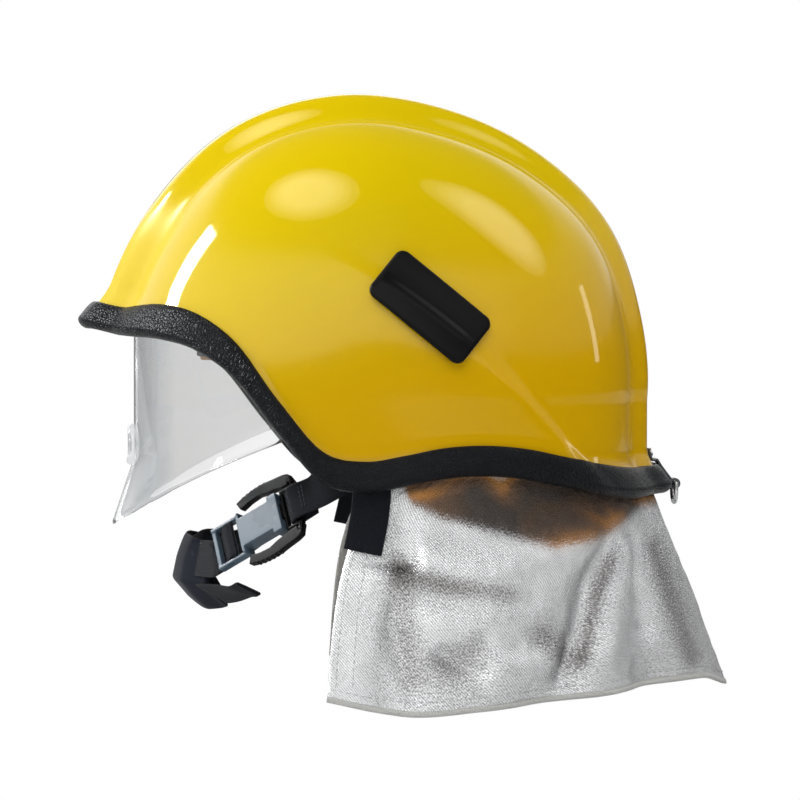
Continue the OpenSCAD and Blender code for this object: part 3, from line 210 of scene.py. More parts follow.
def skin(plan, up, s):
    """Outer face of the shell, where s is the distance above the rim's edge."""
    plan, up, s = arrays(plan, up, s)
    base = on_dome(heading(plan, up))
    v = base - MIDDLE
    high = np.degrees(np.arctan2(v[..., 2], -v[..., 1]))
    side = np.where(v[..., 2] > 0, high, np.where(v[..., 1] < 0, 0, 180))
    outward = dome_normal(base)
    comb_way = unit(np.where(v[..., 2:] > 0, v, v * LEVEL))
    comb = comb_height(side) * (1 - smooth((np.abs(base[..., 0]) - COMB_HALF) / COMB_SLOPE))
    flare = np.where(s < FLARE_H, rim_flare(plan) * (1 - np.clip(s, 0, FLARE_H) / FLARE_H) ** 1.6, 0)
    raised = crease(base[..., 1], base[..., 2])
    return (base + comb_way * comb[..., None] + outward * raised[..., None]
            + unit(outward * LEVEL) * flare[..., None])


def rim_skin(plan, s):
    """Outer face at a plan angle and a distance s above the rim's edge."""
    plan, s = arrays(plan, s)
    up = elevation(plan, rim_z(plan))
    return skin(plan, up + s / rise_rate(plan, up), s)


def rim_normal(plan, s):
    up = rim_skin(plan, s + 0.4) - rim_skin(plan, s - 0.4)
    round_rim = rim_skin(plan + 0.4, s) - rim_skin(plan - 0.4, s)
    return outward_unit(np.cross(up, round_rim), rim_skin(plan, s))


def trim_rise(plan):
    a = folded(plan)
    corner, front, rear = smooth((80 - a) / 40), smooth((35 - a) / 30), smooth((a - 140) / 35)
    return TRIM_H * (1 + 0.15 * corner - 0.35 * front - 0.2 * rear)


def bare_x(y, z):
    d = np.stack(np.broadcast_arrays(0 * y, y - MIDDLE[1], z - MIDDLE[2]), -1).astype(float)
    return HALF_W * np.maximum(1 - gauge(d) ** POWER, 1e-6) ** (1 / POWER) + crease(y, z)


def skin_x(y, z, depth):
    """Half width of the shell's side at a place, a depth under its outer face."""
    slope_y = (bare_x(y + 2, z) - bare_x(y - 2, z)) / 4
    slope_z = (bare_x(y, z + 2) - bare_x(y, z - 2)) / 4
    return bare_x(y, z) - depth * np.sqrt(1 + slope_y ** 2 + slope_z ** 2)


# Mesh makers

def grid_faces(rows, cols, wrap_rows=False, wrap_cols=False, start=0):
    i, j = np.meshgrid(np.arange(rows - (not wrap_rows)), np.arange(cols - (not wrap_cols)), indexing="ij")
    i2, j2 = (i + 1) % rows, (j + 1) % cols
    quads = np.stack([i * cols + j, i * cols + j2, i2 * cols + j2, i2 * cols + j], -1)
    return (quads.reshape(-1, 4) + start).tolist()


def put(name, data):
    """New object in the scene."""
    obj = bpy.data.objects.new(name, data)
    bpy.context.scene.collection.objects.link(obj)
    return obj


def fit(obj, node, body="shell"):
    """Puts the object in the place of a CAD node, on its body."""
    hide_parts(node)
    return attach(obj, body)


def shade_smooth(mesh):
    mesh.polygons.foreach_set("use_smooth", [True] * len(mesh.polygons))


def make(name, points, faces, slot, uv=None, mirror=False):
    points = np.asarray(points, float).reshape(-1, 3) * MM
    if mirror:
        points = points * [-1, 1, 1]
    mesh = bpy.data.meshes.new(name)
    mesh.from_pydata(points.tolist(), [], faces)
    mesh.validate()
    if uv is not None:
        layer = mesh.uv_layers.new(name="flat")
        corners = np.zeros(len(mesh.loops), int)
        mesh.loops.foreach_get("vertex_index", corners)
        layer.data.foreach_set("uv", np.asarray(uv, float).reshape(-1, 2)[corners].ravel())
    turn_outward(mesh)
    shade_smooth(mesh)
    mesh.materials.append(MATERIALS[slot])
    obj = put(name, mesh)
    return obj


def turn_outward(mesh):
    b = bmesh.new()
    b.from_mesh(mesh)
    bmesh.ops.recalc_face_normals(b, faces=b.faces)
    b.to_mesh(mesh)
    b.free()


def loft(name, sections, slot, uv=None, looped=False):
    """Solid through sections with the same count of points; its ends are closed with one face each."""
    sections = np.asarray(sections, float)
    m, n = sections.shape[:2]
    faces = grid_faces(m, n, wrap_rows=looped, wrap_cols=True)
    if not looped:
        faces += [list(range(n))[::-1], [(m - 1) * n + k for k in range(n)]]
    return make(name, sections, faces, slot, uv=uv)


def domed(name, sections, poles, slot):
    """Bowl through sections that each run down the outer face and up the inner one, between the two poles."""
    ribs, n = sections.shape[:2]
    points = np.concatenate([sections.reshape(-1, 3), poles])
    faces = grid_faces(ribs, n, wrap_rows=True)
    for i in range(ribs):
        k = (i + 1) % ribs
        faces.append([len(points) - 2, i * n, k * n])
        faces.append([len(points) - 1, k * n + n - 1, i * n + n - 1])
    return make(name, points, faces, slot)


def apply_modifiers(obj):
    bpy.context.view_layer.update()
    dg = bpy.context.evaluated_depsgraph_get()
    mesh = bpy.data.meshes.new_from_object(obj.evaluated_get(dg), depsgraph=dg)
    obj.modifiers.clear()
    obj.data = mesh
    shade_smooth(mesh)


def strip_outline(half, r):
    """Section of a flat strip with round edges, as rows of (across, up)."""
    flat = np.linspace(-half, half, 9)
    edge = [(half + r * cosd(a), r * sind(a)) for a in (60, 30, 0, -30, -60)]
    far_edge = [(-u, v) for u, v in edge[::-1]]
    return np.array([(u, r) for u in flat] + edge + [(u, -r) for u in flat[::-1]] + far_edge)


def webbing(name, route, width, thick, steps=6, crown=0.0):
    """Woven strip. A row of the route is (place, direction across the strip)."""
    points, across = (np.array([row[k] for row in route], float) for k in (0, 1))
    last = len(route) - 1
    s = np.linspace(0, last, last * steps + 1)
    p, w0 = along(points, s), along(across, s)
    t = unit(along(points, np.minimum(s + 0.02, last)) - along(points, np.maximum(s - 0.02, 0)))
    w = unit(w0 - t * np.sum(w0 * t, -1, keepdims=True))
    n = np.cross(t, w)
    run = run_along(p)
    half = (width - thick) / 2
    outline = strip_outline(half, thick / 2)
    swell = crown * (1 - (outline[:, 0] / half) ** 2) * np.sign(outline[:, 1])
    sections = p[:, None] + w[:, None] * outline[:, :1] + n[:, None] * (outline[:, 1] + swell)[:, None]
    uv = np.stack(np.broadcast_arrays(run[:, None], outline[None, :, 0]), -1)
    return loft(name, sections, "webbing", uv=uv), (p, w, n, run)


# Size and lift of a stitch's rings, as shares of the thread's radius
STITCH = [(0.35, -0.3), (1, 0.35), (1.08, 0.55), (1, 0.35), (0.35, -0.3)]


def stitches(name, rows, slot, length, gap, radius=0.28):
    """Short threads along each row, which is (points, normals) close together."""
    points, faces = [], []
    ring = np.radians(np.arange(6) * 60)
    rings = len(STITCH)
    for p, n in rows:
        n = unit(n)
        run = run_along(p)
        for start in np.arange(0.6, run[-1] - length, length + gap):
            at = np.linspace(start, start + length, rings)
            line, out = (np.stack([np.interp(at, run, v[:, k]) for k in range(3)], -1) for v in (p, n))
            out = unit(out)
            side = unit(np.cross(unit(line[-1] - line[0]), out))
            base = len(points)
            for c, o, w, (size, lift) in zip(line, out, side, STITCH):
                middle = c + o * lift * radius
                points += [middle + (w * np.cos(a) + o * np.sin(a)) * radius * size for a in ring]
            faces += grid_faces(rings, 6, wrap_cols=True, start=base)
            faces += [[base + k for k in range(6)], [base + 6 * (rings - 1) + k for k in range(6)]]
    return make(name, points, faces, slot)


def soften(name, node, slot, voxel, rounds):
    """The CAD node's shape with its edges rounded, as a moulded or bent piece has them."""
    obj = put(name, NODES[node].data.copy())
    remesh = obj.modifiers.new("remesh", "REMESH")
    remesh.mode = "VOXEL"
    remesh.voxel_size = voxel * MM
    even = obj.modifiers.new("even", "SMOOTH")
    even.iterations = rounds
    even.factor = 0.5
    obj.modifiers.new("thin", "DECIMATE").ratio = 0.35
    apply_modifiers(obj)
    obj.data.materials.clear()
    obj.data.materials.append(MATERIALS[slot])
    return fit(obj, node, next(body for body, names in BODIES.items() if node in names))


CLOTH = {"quality": 6, "mass": 0.12, "tension_stiffness": 12, "compression_stiffness": 12,
         "bending_stiffness": 0.2, "use_pressure": True, "uniform_pressure_force": 4,
         "vertex_group_mass": "sewn"}


def puff(obj, held, cap):
    """Swells a pad with cloth simulation, by cap at most, between the points that are held."""
    rest = np.array([v.co for v in obj.data.vertices])
    obj.vertex_groups.new(name="sewn").add(sorted(set(held)), 1.0, "REPLACE")
    cloth = obj.modifiers.new("cloth", "CLOTH")
    for key, value in CLOTH.items():
        setattr(cloth.settings, key, value)
    cloth.settings.effector_weights.gravity = 0
    cloth.collision_settings.use_collision = False
    scene = bpy.context.scene
    for k in range(1, 21):
        scene.frame_set(k)
    dg = bpy.context.evaluated_depsgraph_get()
    step = np.array([v.co for v in obj.evaluated_get(dg).data.vertices]) - rest
    obj.modifiers.clear()
    obj.vertex_groups.clear()
    scene.frame_set(1)
    size = np.linalg.norm(step, axis=1, keepdims=True)
    step *= np.minimum(1, cap * MM / np.maximum(size, 1e-9))
    obj.data.vertices.foreach_set("co", (rest + step).ravel())
    soft = obj.modifiers.new("soft", "SUBSURF")
    soft.levels = soft.render_levels = 1
    apply_modifiers(obj)


# Materials

MATERIALS = {}


class Tree:
    """Short hand for a node tree."""

    def __init__(self, tree):
        self.tree = tree

    def feed(self, socket, value):
        if isinstance(value, bpy.types.NodeSocket):
            self.tree.links.new(value, socket)
        else:
            socket.default_value = value

    def add(self, kind, inputs=None, **settings):
        node = self.tree.nodes.new("ShaderNode" + kind)
        for key, value in settings.items():
            setattr(node, key, value)
        for key, value in (inputs or {}).items():
            self.feed(node.inputs[key], value)
        return node

    def math(self, operation, a, b=None):
        inputs = {0: a} if b is None else {0: a, 1: b}
        return self.add("Math", inputs, operation=operation).outputs[0]

    def total(self, *terms):
        """Sum of the terms, each a socket with its weight."""
        parts = [value if weight == 1 else self.math("MULTIPLY", value, weight) for value, weight in terms]
        result = parts[0]
        for part in parts[1:]:
            result = self.math("ADD", result, part)
        return result

    def ranged(self, value, start, end, low=0.0, high=1.0, kind="LINEAR"):
        """From low at start to high at end."""
        inputs = {"Value": value, "From Min": start, "From Max": end, "To Min": low, "To Max": high}
        return self.add("MapRange", inputs, interpolation_type=kind).outputs["Result"]

    def choose(self, share, a, b):
        """Shader a where share is 0 and b where it is 1."""
        return self.add("MixShader", {0: share, 1: a.outputs[0], 2: b.outputs[0]})


class Paint(Tree):
    """A material's node tree, which takes its places from the object's own coordinates."""

    def __init__(self, name):
        mat = MATERIALS[name] = bpy.data.materials.new("mat_" + name)
        mat.use_nodes = True
        super().__init__(mat.node_tree)
        self.shader = self.tree.nodes["Principled BSDF"]
        self.object = self.add("TexCoord").outputs["Object"]

    def place(self):
        return self.add("SeparateXYZ", {0: self.object}).outputs

    def flat(self):
        """The cloth's own flat coordinates, in millimetres."""
        return self.add("UVMap", uv_map="flat").outputs["UV"]

    def noise(self, scale, detail=3, rough=0.5, source=None, stretch=None, distort=0.0):
        source = source or self.object
        if stretch:
            source = self.add("Mapping", {"Vector": source, "Scale": stretch}).outputs["Vector"]
        inputs = {"Scale": scale, "Detail": detail, "Roughness": rough, "Distortion": distort}
        return self.add("TexNoise", {**inputs, "Vector": source}).outputs["Fac"]

    def cells(self, scale, feature):
        inputs = {"Scale": scale, "Vector": self.object}
        return self.add("TexVoronoi", inputs, feature=feature).outputs["Distance"]

    def wave(self, scale, direction, source, distort=0.0, turn=0.0):
        if turn:
            source = self.add("Mapping", {"Vector": source, "Rotation": (0, 0, turn)}).outputs["Vector"]
        inputs = {"Scale": scale, "Distortion": distort, "Vector": source}
        return self.add("TexWave", inputs, wave_type="BANDS", bands_direction=direction).outputs["Fac"]

    def ramp(self, fac, stops):
        node = self.add("ValToRGB", {"Fac": fac})
        elements = node.color_ramp.elements
        elements.remove(elements[1])
        for k, (place, colour) in enumerate(stops):
            e = elements[0] if k == 0 else elements.new(place)
            e.position = place
            e.color = (*colour, 1) if hasattr(colour, "__len__") else (colour, colour, colour, 1)
        return node.outputs["Color"]

    def shades(self, fac, colour, *stops):
        """Ramp through darker and lighter shades of one colour."""
        return self.ramp(fac, [(place, tuple(c * k for c in colour)) for place, k in stops])

    def blend(self, mode, share, a, b):
        return self.add("Mix", {0: share, 6: a, 7: b}, data_type="RGBA", blend_type=mode).outputs[2]

    def bump(self, height, distance, strength, under=None):
        inputs = {"Height": height, "Distance": distance, "Strength": strength}
        if under is not None:
            inputs["Normal"] = under
        return self.add("Bump", inputs).outputs["Normal"]

    def between(self, value, start, end):
        """Soft step from 0 at start to 1 at end."""
        return self.ranged(value, start, end, kind="SMOOTHSTEP")

    def finish(self, colour, rough, normal, **plain):
        inputs = {"Base Color": colour, "Roughness": rough, "Normal": normal}
        inputs.update({key.replace("_", " "): value for key, value in plain.items()})
        for key, value in inputs.items():
            self.feed(self.shader.inputs[key], value)


def shell_paint():
    m = Paint("shell")
    place = m.place()
    # Painted light and shade: the yellow is paler and more lemon at the top and front, where the lamps fall,
    # and deeper orange lower down
    height = m.total((place["Z"], 1), (place["Y"], -0.35), (m.noise(6, 2), 0.04))
    tone = m.ramp(m.between(height, -0.02, 0.125), [(0.0, (0.79, 0.45, 0.001)), (1.0, (0.755, 0.545, 0.001))])
    # The comb's front is worn and less glossy
    near_comb = m.between(m.math("ABSOLUTE", place["X"]), 0.052, 0.04)
    worn = m.math("MULTIPLY", near_comb, m.between(place["Z"], 0.1, 0.06))
    worn = m.math("MULTIPLY", worn, m.between(place["Y"], -0.05, -0.09))
    rough = m.total((m.ramp(m.noise(55, 4), [(0.35, 0.04), (0.7, 0.075)]), 1), (worn, 0.6))
    m.finish(tone, rough, m.bump(m.noise(420, 2), 0.00001, 0.5), IOR=1.5, Specular_Tint=(1.0, 0.93, 0.6, 1.0))


def rubber(name, colour, grain, depth, rough):
    m = Paint(name)
    hills = m.ramp(m.cells(grain, "DISTANCE_TO_EDGE"), [(0.0, 0.0), (0.12, 0.75), (0.5, 1.0)])
    height = m.total((hills, 1), (m.noise(grain * 2.6, 3), 0.35))
    patches = m.noise(30, 3)
    tone = m.shades(patches, colour, (0.3, 0.75), (0.75, 1.35))
    m.finish(tone, m.ramp(patches, [(0.3, rough), (0.8, rough + 0.12)]), m.bump(height, depth, 0.7),
             IOR=1.5, Specular_IOR_Level=0.13)


def moulded(name, colour, rough, fleck=0.12, spec=0.5):
    m = Paint(name)
    wide = m.noise(45, 3)
    tone = m.shades(wide, colour, (0.25, 1 - fleck), (0.75, 1 + fleck))
    grain = m.bump(m.noise(900, 4, 0.65), 0.00003, 0.6)
    gloss = m.ramp(wide, [(0.3, rough - 0.05), (0.75, rough + 0.07)])
    m.finish(tone, gloss, grain, IOR=1.5, Specular_IOR_Level=spec)


def metal(name, colour, rough):
    m = Paint(name)
    brushed = m.noise(260, 4, 0.6, stretch=(1, 14, 1))
    tone = m.shades(m.noise(70, 4), colour, (0.3, 0.82), (0.7, 1))
    gloss = m.ramp(brushed, [(0.3, rough), (0.7, rough + 0.16)])
    m.finish(tone, gloss, m.bump(brushed, 0.00002, 0.5), Metallic=1.0)


def woven(name, colour, rib=1.6, sheen=0.25, rough=0.82):
    """Webbing: slanting yarns in ribs along the strip."""
    m = Paint(name)
    flat = m.flat()
    yarns, back = (m.wave(0.42, "X", flat, turn=turn) for turn in (0.5, -0.5))
    choose = m.math("GREATER_THAN", m.wave(0.25 / rib, "Y", flat), 0.5)
    cross = m.total((yarns, choose), (back, m.math("SUBTRACT", 1.0, choose)))
    height = m.total((m.wave(0.5 / rib, "Y", flat), 0.5), (cross, 0.5))
    fuzz = m.noise(1500, 3)
    # Painted shade: the yarns are darker down in the grooves and lighter on their tops
    tone = m.shades(m.total((height, 0.7), (fuzz, 0.4)), colour, (0.2, 0.45), (0.85, 1.6))
    m.finish(tone, rough, m.bump(height, 0.00035, 0.9, m.bump(fuzz, 0.00008, 0.5)),
             Sheen_Weight=sheen, Sheen_Roughness=0.4, Specular_IOR_Level=0.2)


def brushed_cloth(name, colour, scale=900, depth=0.00012, sheen=0.5):
    m = Paint(name)
    fuzz = m.noise(scale * 1.7, 4, 0.7)
    height = m.total((m.cells(scale, "F1"), 0.6), (fuzz, 0.5))
    tone = m.shades(m.total((fuzz, 0.6), (m.noise(35, 3), 0.5)), colour, (0.3, 0.55), (0.8, 1.5))
    m.finish(tone, 0.92, m.bump(height, depth, 0.8),
             Sheen_Weight=sheen, Sheen_Roughness=0.35, Specular_IOR_Level=0.2)


def leather(name, colour):
    m = Paint(name)
    hills = m.ramp(m.cells(520, "DISTANCE_TO_EDGE"), [(0.0, 0.0), (0.1, 0.7), (0.4, 1.0)])
    height = m.total((hills, 1), (m.noise(1300, 3), 0.3))
    tone = m.shades(m.noise(40, 5, 0.6), colour, (0.25, 0.7), (0.75, 1.15))
    m.finish(tone, m.ramp(m.noise(80, 3), [(0.3, 0.5), (0.8, 0.68)]), m.bump(height, 0.00012, 0.7), IOR=1.45)


def aluminised(name):
    """Silvered twill: ribs and grains over dull metal, with painted reflections and painted shade that the
    cloth's points carry.
    """
    m = Paint(name)
    flat = m.flat()
    silver, painted_shell_reflection = (m.add("Attribute", attribute_name=key).outputs["Fac"] for key in ("silver", "painted_shell_reflection"))
    twill = m.wave(0.3, "X", flat, distort=2.5, turn=0.85)
    grains = m.noise(0.8, 3, 0.85, source=flat, stretch=(1.0, 1.3, 1.0))
    fine = m.noise(1.5, 2, 0.7, source=flat)
    dents = m.noise(0.085, 4, 0.55, source=flat, distort=0.8)
    wide = m.noise(0.016, 3, 0.5, source=flat, stretch=(1.0, 0.7, 1.0), distort=0.5)
    speckled = m.total((grains, 0.8), (wide, 0.2))
    # Painted reflection and painted shade: the cloth's stroke tones, with the grain, run the colour from dark
    # grey to near white
    patches = m.ramp(m.total((silver, 0.5), (speckled, 1)), [
        (0.5, (0.12, 0.115, 0.11)), (0.63, (0.42, 0.41, 0.41)),
        (0.73, (0.8, 0.81, 0.82)), (0.81, (0.98, 0.99, 1.0))])
    # Painted sparkle: the colour is full on the grains and ribs and darker between them, as glints and shade
    # on the metal
    painted_sparkle = m.ramp(m.total((grains, 0.6), (twill, 0.25)), [(0.3, 0.55), (0.42, 0.93), (0.52, 1.0)])
    # Painted reflection of the yellow shell in the metal cloth, orange and dark brown, near its top
    shell_reflection_colour = m.ramp(m.noise(0.014, 2, 0.5, source=flat, stretch=(1.0, 1.8, 1.0), distort=0.6), [
        (0.38, (0.035, 0.022, 0.013)), (0.48, (0.13, 0.06, 0.02)),
        (0.56, (0.42, 0.17, 0.02)), (0.64, (0.6, 0.5, 0.4))])
    shell_reflection_share = m.between(m.total((painted_shell_reflection, 1), (grains, 2.4)), 1.4, 2.0)
    tone = m.blend("MIX", m.math("MULTIPLY", shell_reflection_share, 0.94), m.blend("MULTIPLY", 1.0, patches, painted_sparkle), shell_reflection_colour)
    height = m.total((twill, 0.12), (grains, 1.5), (fine, 0.5))
    normal = m.bump(height, 0.00034, 0.8, m.bump(dents, 0.0016, 0.75))
    m.finish(tone, m.ramp(fine, [(0.35, 0.3), (0.7, 0.2)]), normal, Metallic=0.96)


def clear_plastic(name):
    """Thin clear sheet, greyer across its front, with a hard gloss."""
    m = Paint(name)
    haze = m.ramp(m.noise(60, 4), [(0.45, 0.012), (0.8, 0.05)])
    front = m.between(m.place()["Y"], -0.108, -0.122)
    tone = m.ramp(front, [(0.0, (0.84, 0.843, 0.84)), (1.0, (0.765, 0.778, 0.79))])
    m.finish(tone, haze, m.bump(m.noise(18, 2), 0.00012, 0.25), IOR=1.05,
             Transmission_Weight=1.0, Coat_Weight=1.0, Coat_IOR=1.5, Coat_Roughness=0.02)


def foam(name, colour):
    m = Paint(name)
    tone = m.shades(m.noise(90, 4), colour, (0.3, 0.7), (0.75, 1.3))
    m.finish(tone, 0.78, m.bump(m.cells(260, "SMOOTH_F1"), 0.0004, 0.35))


shell_paint()
rubber("trim", (0.005, 0.006, 0.008), 520, 0.0006, 0.27)
moulded("black_plastic", (0.005, 0.005, 0.0052), 0.33, spec=0.11)
metal("steel", (0.68, 0.69, 0.7), 0.24)
metal("dark_steel", (0.13, 0.135, 0.145), 0.38)
clear_plastic("screen")
foam("liner", (0.05, 0.053, 0.058))
moulded("harness", (0.07, 0.07, 0.075), 0.5)
leather("leather", (0.50, 0.31, 0.15))
woven("webbing", (0.006, 0.007, 0.011), sheen=0.08)
brushed_cloth("pad", (0.009, 0.011, 0.019), sheen=0.12)
aluminised("cape")
brushed_cloth("cape_back", (0.62, 0.61, 0.58), 700, 0.0001, 0.2)
woven("binding", (0.66, 0.66, 0.63), rib=1.0, rough=0.7)
moulded("buckle", (0.085, 0.125, 0.165), 0.3)
moulded("washer", (0.78, 0.78, 0.76), 0.45, fleck=0.04)
brushed_cloth("thread_dark", (0.06, 0.065, 0.08), 2600, 0.00003, 0.3)
brushed_cloth("thread_pale", (0.5, 0.5, 0.5), 2600, 0.00003, 0.3)
brushed_cloth("hook_tape", (0.02, 0.021, 0.026), 1400, 0.0003, 0.6)

for node, obj in NODES.items():
    for slot in obj.material_slots:
        slot.material = MATERIALS[SLOT_OF[node]]


# Shell

def shell():
    """The moulding, with closer rows in the last stretch above its rim, where it flares."""
    ribs, crown, low, stretch = 288, 84, 26, 30
    far_above_rim = 99.0
    plan = np.arange(ribs)[:, None] * 360 / ribs
    up = elevation(plan, rim_z(plan))
    rate = rise_rate(plan, up)
    above_rim = np.linspace(stretch, 0, low)
    share = (np.arange(crown) + 1) / (crown + 1)
    ups = np.concatenate([90 + (up + stretch / rate - 90) * share, up + above_rim / rate], 1)
    outer = skin(plan, ups, np.concatenate([np.full(crown, far_above_rim), above_rim]))
    side = np.roll(outer, -1, 0) - np.roll(outer, 1, 0)
    inner = outer - outward_unit(np.cross(np.gradient(outer, axis=1), side), outer) * WALL
    pole = skin(0.0, 90.0, far_above_rim)
    sections = np.concatenate([outer, inner[:, ::-1]], 1)
    return fit(domed("shell_moulding", sections, [pole, pole - [0, 0, WALL]], "shell"), "outer_shell")


# Share of the trim's height and distance from the shell, down its outer lip and up its inner one
OUTER_LIP = [(1.0, 0.1), (1.005, 0.9), (0.985, 1.7), (0.93, 2.35), (0.84, 2.85), (0.7, 3.15), (0.5, 3.25),
             (0.3, 3.1), (0.1, 2.95)]
INNER_LIP = [(0.1, 2.9), (0.4, 2.9), (0.7, 2.8), (0.9, 2.3), (0.98, 1.4), (1.0, 0.4), (0.99, 0.1), (0.5, 0.1)]


def edge_trim():
    """Rubber channel with a full round bottom and soft lips."""
    plan = np.arange(360) * 1.0
    rise = trim_rise(plan) * (1 - 0.14 * smooth((26 - folded(plan)) / 16))
    edge, n = rim_skin(plan, 0.0), rim_normal(plan, 0.6)
    down = unit(edge - rim_skin(plan, 2.0))
    middle, reach = WALL / 2, TRIM_LEG + SEAT

    def beside(share, lift):
        return rim_skin(plan, rise * share) + rim_normal(plan, rise * share) * lift

    rows = [beside(share, lift) for share, lift in OUTER_LIP]
    rows += [edge + n * ((middle + reach) * cosd(a) - middle) + down * (TRIM_FOOT * sind(a) - 0.2)
             for a in np.linspace(0, 180, 11)]
    rows += [beside(share, -WALL - lift) for share, lift in INNER_LIP]
    rows += [edge + down * 0.15 - n * WALL, edge + down * 0.15, beside(0.5, 0.1)]
    return fit(loft("edge_rubber", np.stack(rows, 1), "trim", looped=True), "edge_trim")


PLATE_Y, PLATE_Z, PLATE_TILT, PLATE_LENGTH, PLATE_HEIGHT, PLATE_CORNER = 21.3, 32.0, 39.5, 62.0, 30.0, 5.0
# Inset and lift of the plate's rings, from its foot to its face
PLATE_RINGS = [(0.0, 0.6), (0.0, 2.6), (0.12, 3.15), (0.45, 3.55), (0.95, 3.75), (2.2, 3.82)]


def plate_outline(inset, cols):
    """Places along the plate and its half heights there, with the outline drawn in by inset."""
    l, h, q = PLATE_LENGTH / 2 - inset, PLATE_HEIGHT / 2 - inset, max(0.6, PLATE_CORNER - inset)
    a = l * np.sin(np.linspace(-np.pi / 2, np.pi / 2, cols))
    into = np.maximum(0, np.abs(a) - l + q)
    return a, h - q + np.sqrt(np.maximum(0.0, q * q - into * into))


def plate_point(a, b, lift):
    """Point over the shell, a along the plate and b across it, raised along the fold."""
    y = PLATE_Y + a * cosd(PLATE_TILT) + b * sind(PLATE_TILT)
    z = PLATE_Z - a * sind(PLATE_TILT) + b * cosd(PLATE_TILT)
    fold = 0.5 * (1 - smooth(np.abs(b + 1.5) / 9)) * (1 - smooth((np.abs(a) - 22) / 8))
    return np.stack([skin_x(y, z, -(lift + fold)), y, z], -1)


def side_plate(name):
    """Plate folded along the crease, with rolled edges."""
    cols, rows = 72, 36
    rings = []
    for inset, lift in PLATE_RINGS:
        a, h = plate_outline(inset, cols)
        rings.append(np.concatenate([plate_point(a, h, lift), plate_point(a[::-1], -h[::-1], lift)]))
    # The face is a sheet between the two long sides of the last ring
    sheet = [plate_point(a, h * k, lift) for k in np.linspace(1, -1, rows)[1:-1]]
    faces = grid_faces(len(rings), 2 * cols, wrap_cols=True)
    start = len(rings) * 2 * cols
    column = np.arange(cols)
    inner = [start + i * cols + column for i in range(rows - 2)]
    ids = [start - 2 * cols + column, *inner, start - 1 - column]
    for u, v in zip(ids, ids[1:]):
        faces += np.stack([u[:-1], u[1:], v[1:], v[:-1]], -1).tolist()
    obj = make("plate_" + name, np.concatenate(rings + sheet), faces, "black_plastic", mirror=name == "right")
    return fit(obj, "side_plate_" + name)


# Face shield

SCREEN_PLAN = [[38, -122], [58, -107.5], [78, -87], [91.5, -61], [98, -40], [100, -22], [100, -4]]
SCREEN_FRONT_Y = -132.3
SCREEN_LOW_Z = [-87, -82, -73.5, -64, -53, -41.5, -34, -31, -30]
SCREEN_TOP_Z = [42, 42, 41, 37, 31, 24, 12, 2, -8]
SCREEN_T = 2.5
TAB_Z = -43
# Radius and lift of the finger tab's rings, over its rim and into the thumb hollow
TAB_RINGS = [(9.2, -0.6), (9.0, 0.6), (8.6, 1.9), (7.9, 2.8), (7.0, 3.1), (6.1, 2.8), (5.4, 2.0), (4.4, 1.2),
             (3.0, 0.8), (1.4, 0.65)]


def screen_plan(s):
    """The shield in plan, where s runs from 0 at its middle to 8 at its side."""
    t = np.clip(s / 2, 0, 1)
    near = np.stack([SCREEN_PLAN[0][0] * t, mix(SCREEN_FRONT_Y, SCREEN_PLAN[0][1], t ** 1.5)], -1)
    return np.where((s < 2)[..., None], near, along(SCREEN_PLAN, np.maximum(s, 2) - 2))


def nose_push(z):
    """How far the nose guard stands forward at a height."""
    return 12.3 * np.maximum(0, -50 - z) / 37


def screen_point(s, v, depth):
    """Point of the shield, s round it, v up it from 0 to 1, and a depth under its outer face."""
    s, v, depth = arrays(s, v, depth)
    a, side = np.abs(s), np.where(s < 0, -1.0, 1.0)
    p = screen_plan(a)
    t = unit(screen_plan(np.minimum(8, a + 0.05)) - screen_plan(np.maximum(0, a - 0.05)))
    hollow = 2.4 * np.clip(1 - v / 0.42, 0, 1) ** 2 * smooth((a - 2) / 1.0) * (1 - smooth((a - 5.5) / 1.5))
    depth = depth - hollow
    z = mix(along(SCREEN_LOW_Z, a), along(SCREEN_TOP_Z, a), v)
    push = nose_push(z) * (1 - smooth((p[..., 0] - 8) / 55))
    return np.stack([side * (p[..., 0] - t[..., 1] * depth), p[..., 1] + t[..., 0] * depth - push, z], -1)


def shield():
    s = np.linspace(-8, 8, 145)
    v = np.concatenate([[0, 0.004, 0.012], np.linspace(0.03, 0.97, 62), [0.988, 0.996, 1]])
    from_edge = np.minimum(np.arange(len(v)), np.arange(len(v))[::-1])
    inset = (0.9 - 0.9 * np.minimum(1, from_edge / 2)) * SCREEN_T / 2
    outer, inner = (screen_point(s[:, None], v, depth) for depth in (inset, SCREEN_T - inset))
    obj = loft("shield_screen", np.concatenate([outer, inner[:, ::-1]], 1), "screen")
    return fit(obj, "visor_screen", "visor")


def finger_tab():
    """An oval rim round a thumb hollow."""
    count = 48
    a = np.linspace(0, 360, count + 1)[:-1]
    rings = []
    for r, lift in TAB_RINGS:
        x, z = r * 0.86 * sind(a), TAB_Z + r * 1.25 * cosd(a)
        rings.append(np.stack([x, SCREEN_FRONT_Y - nose_push(z) - SEAT - lift + 0.004 * x * x, z], -1))
    points = np.concatenate(rings + [[[0, SCREEN_FRONT_Y - SEAT - 0.6, TAB_Z]]])
    faces = grid_faces(len(rings), count, wrap_cols=True)
    last = (len(rings) - 1) * count
    faces += [[last + k, last + (k + 1) % count, len(points) - 1] for k in range(count)]
    faces.append(list(range(count)))
    return fit(make("shield_finger_tab", points, faces, "screen"), "visor_tab", "visor")


# Liner and harness

def liner_point(plan, up, depth):
    """Point of the liner, from depth 0 on its outer face to 1 on its inner one."""
    base = on_dome(heading(plan, up))
    v = unit(base - MIDDLE)
    shield_room = 1 - smooth((0.8 * v[..., 1] + 0.5 * v[..., 2] - 0.12) / 0.55)
    corner = 2.6 * bell((folded(plan) - 32) / 17) * smooth((70 - up) / 20)
    thick = 13.5 + 16 * (1 - shield_room) - 6 * np.maximum(0, v[..., 2])
    under = 3.5 + 20 * shield_room + (1 - depth) * corner + depth * thick
    return base - dome_normal(base) * under[..., None]


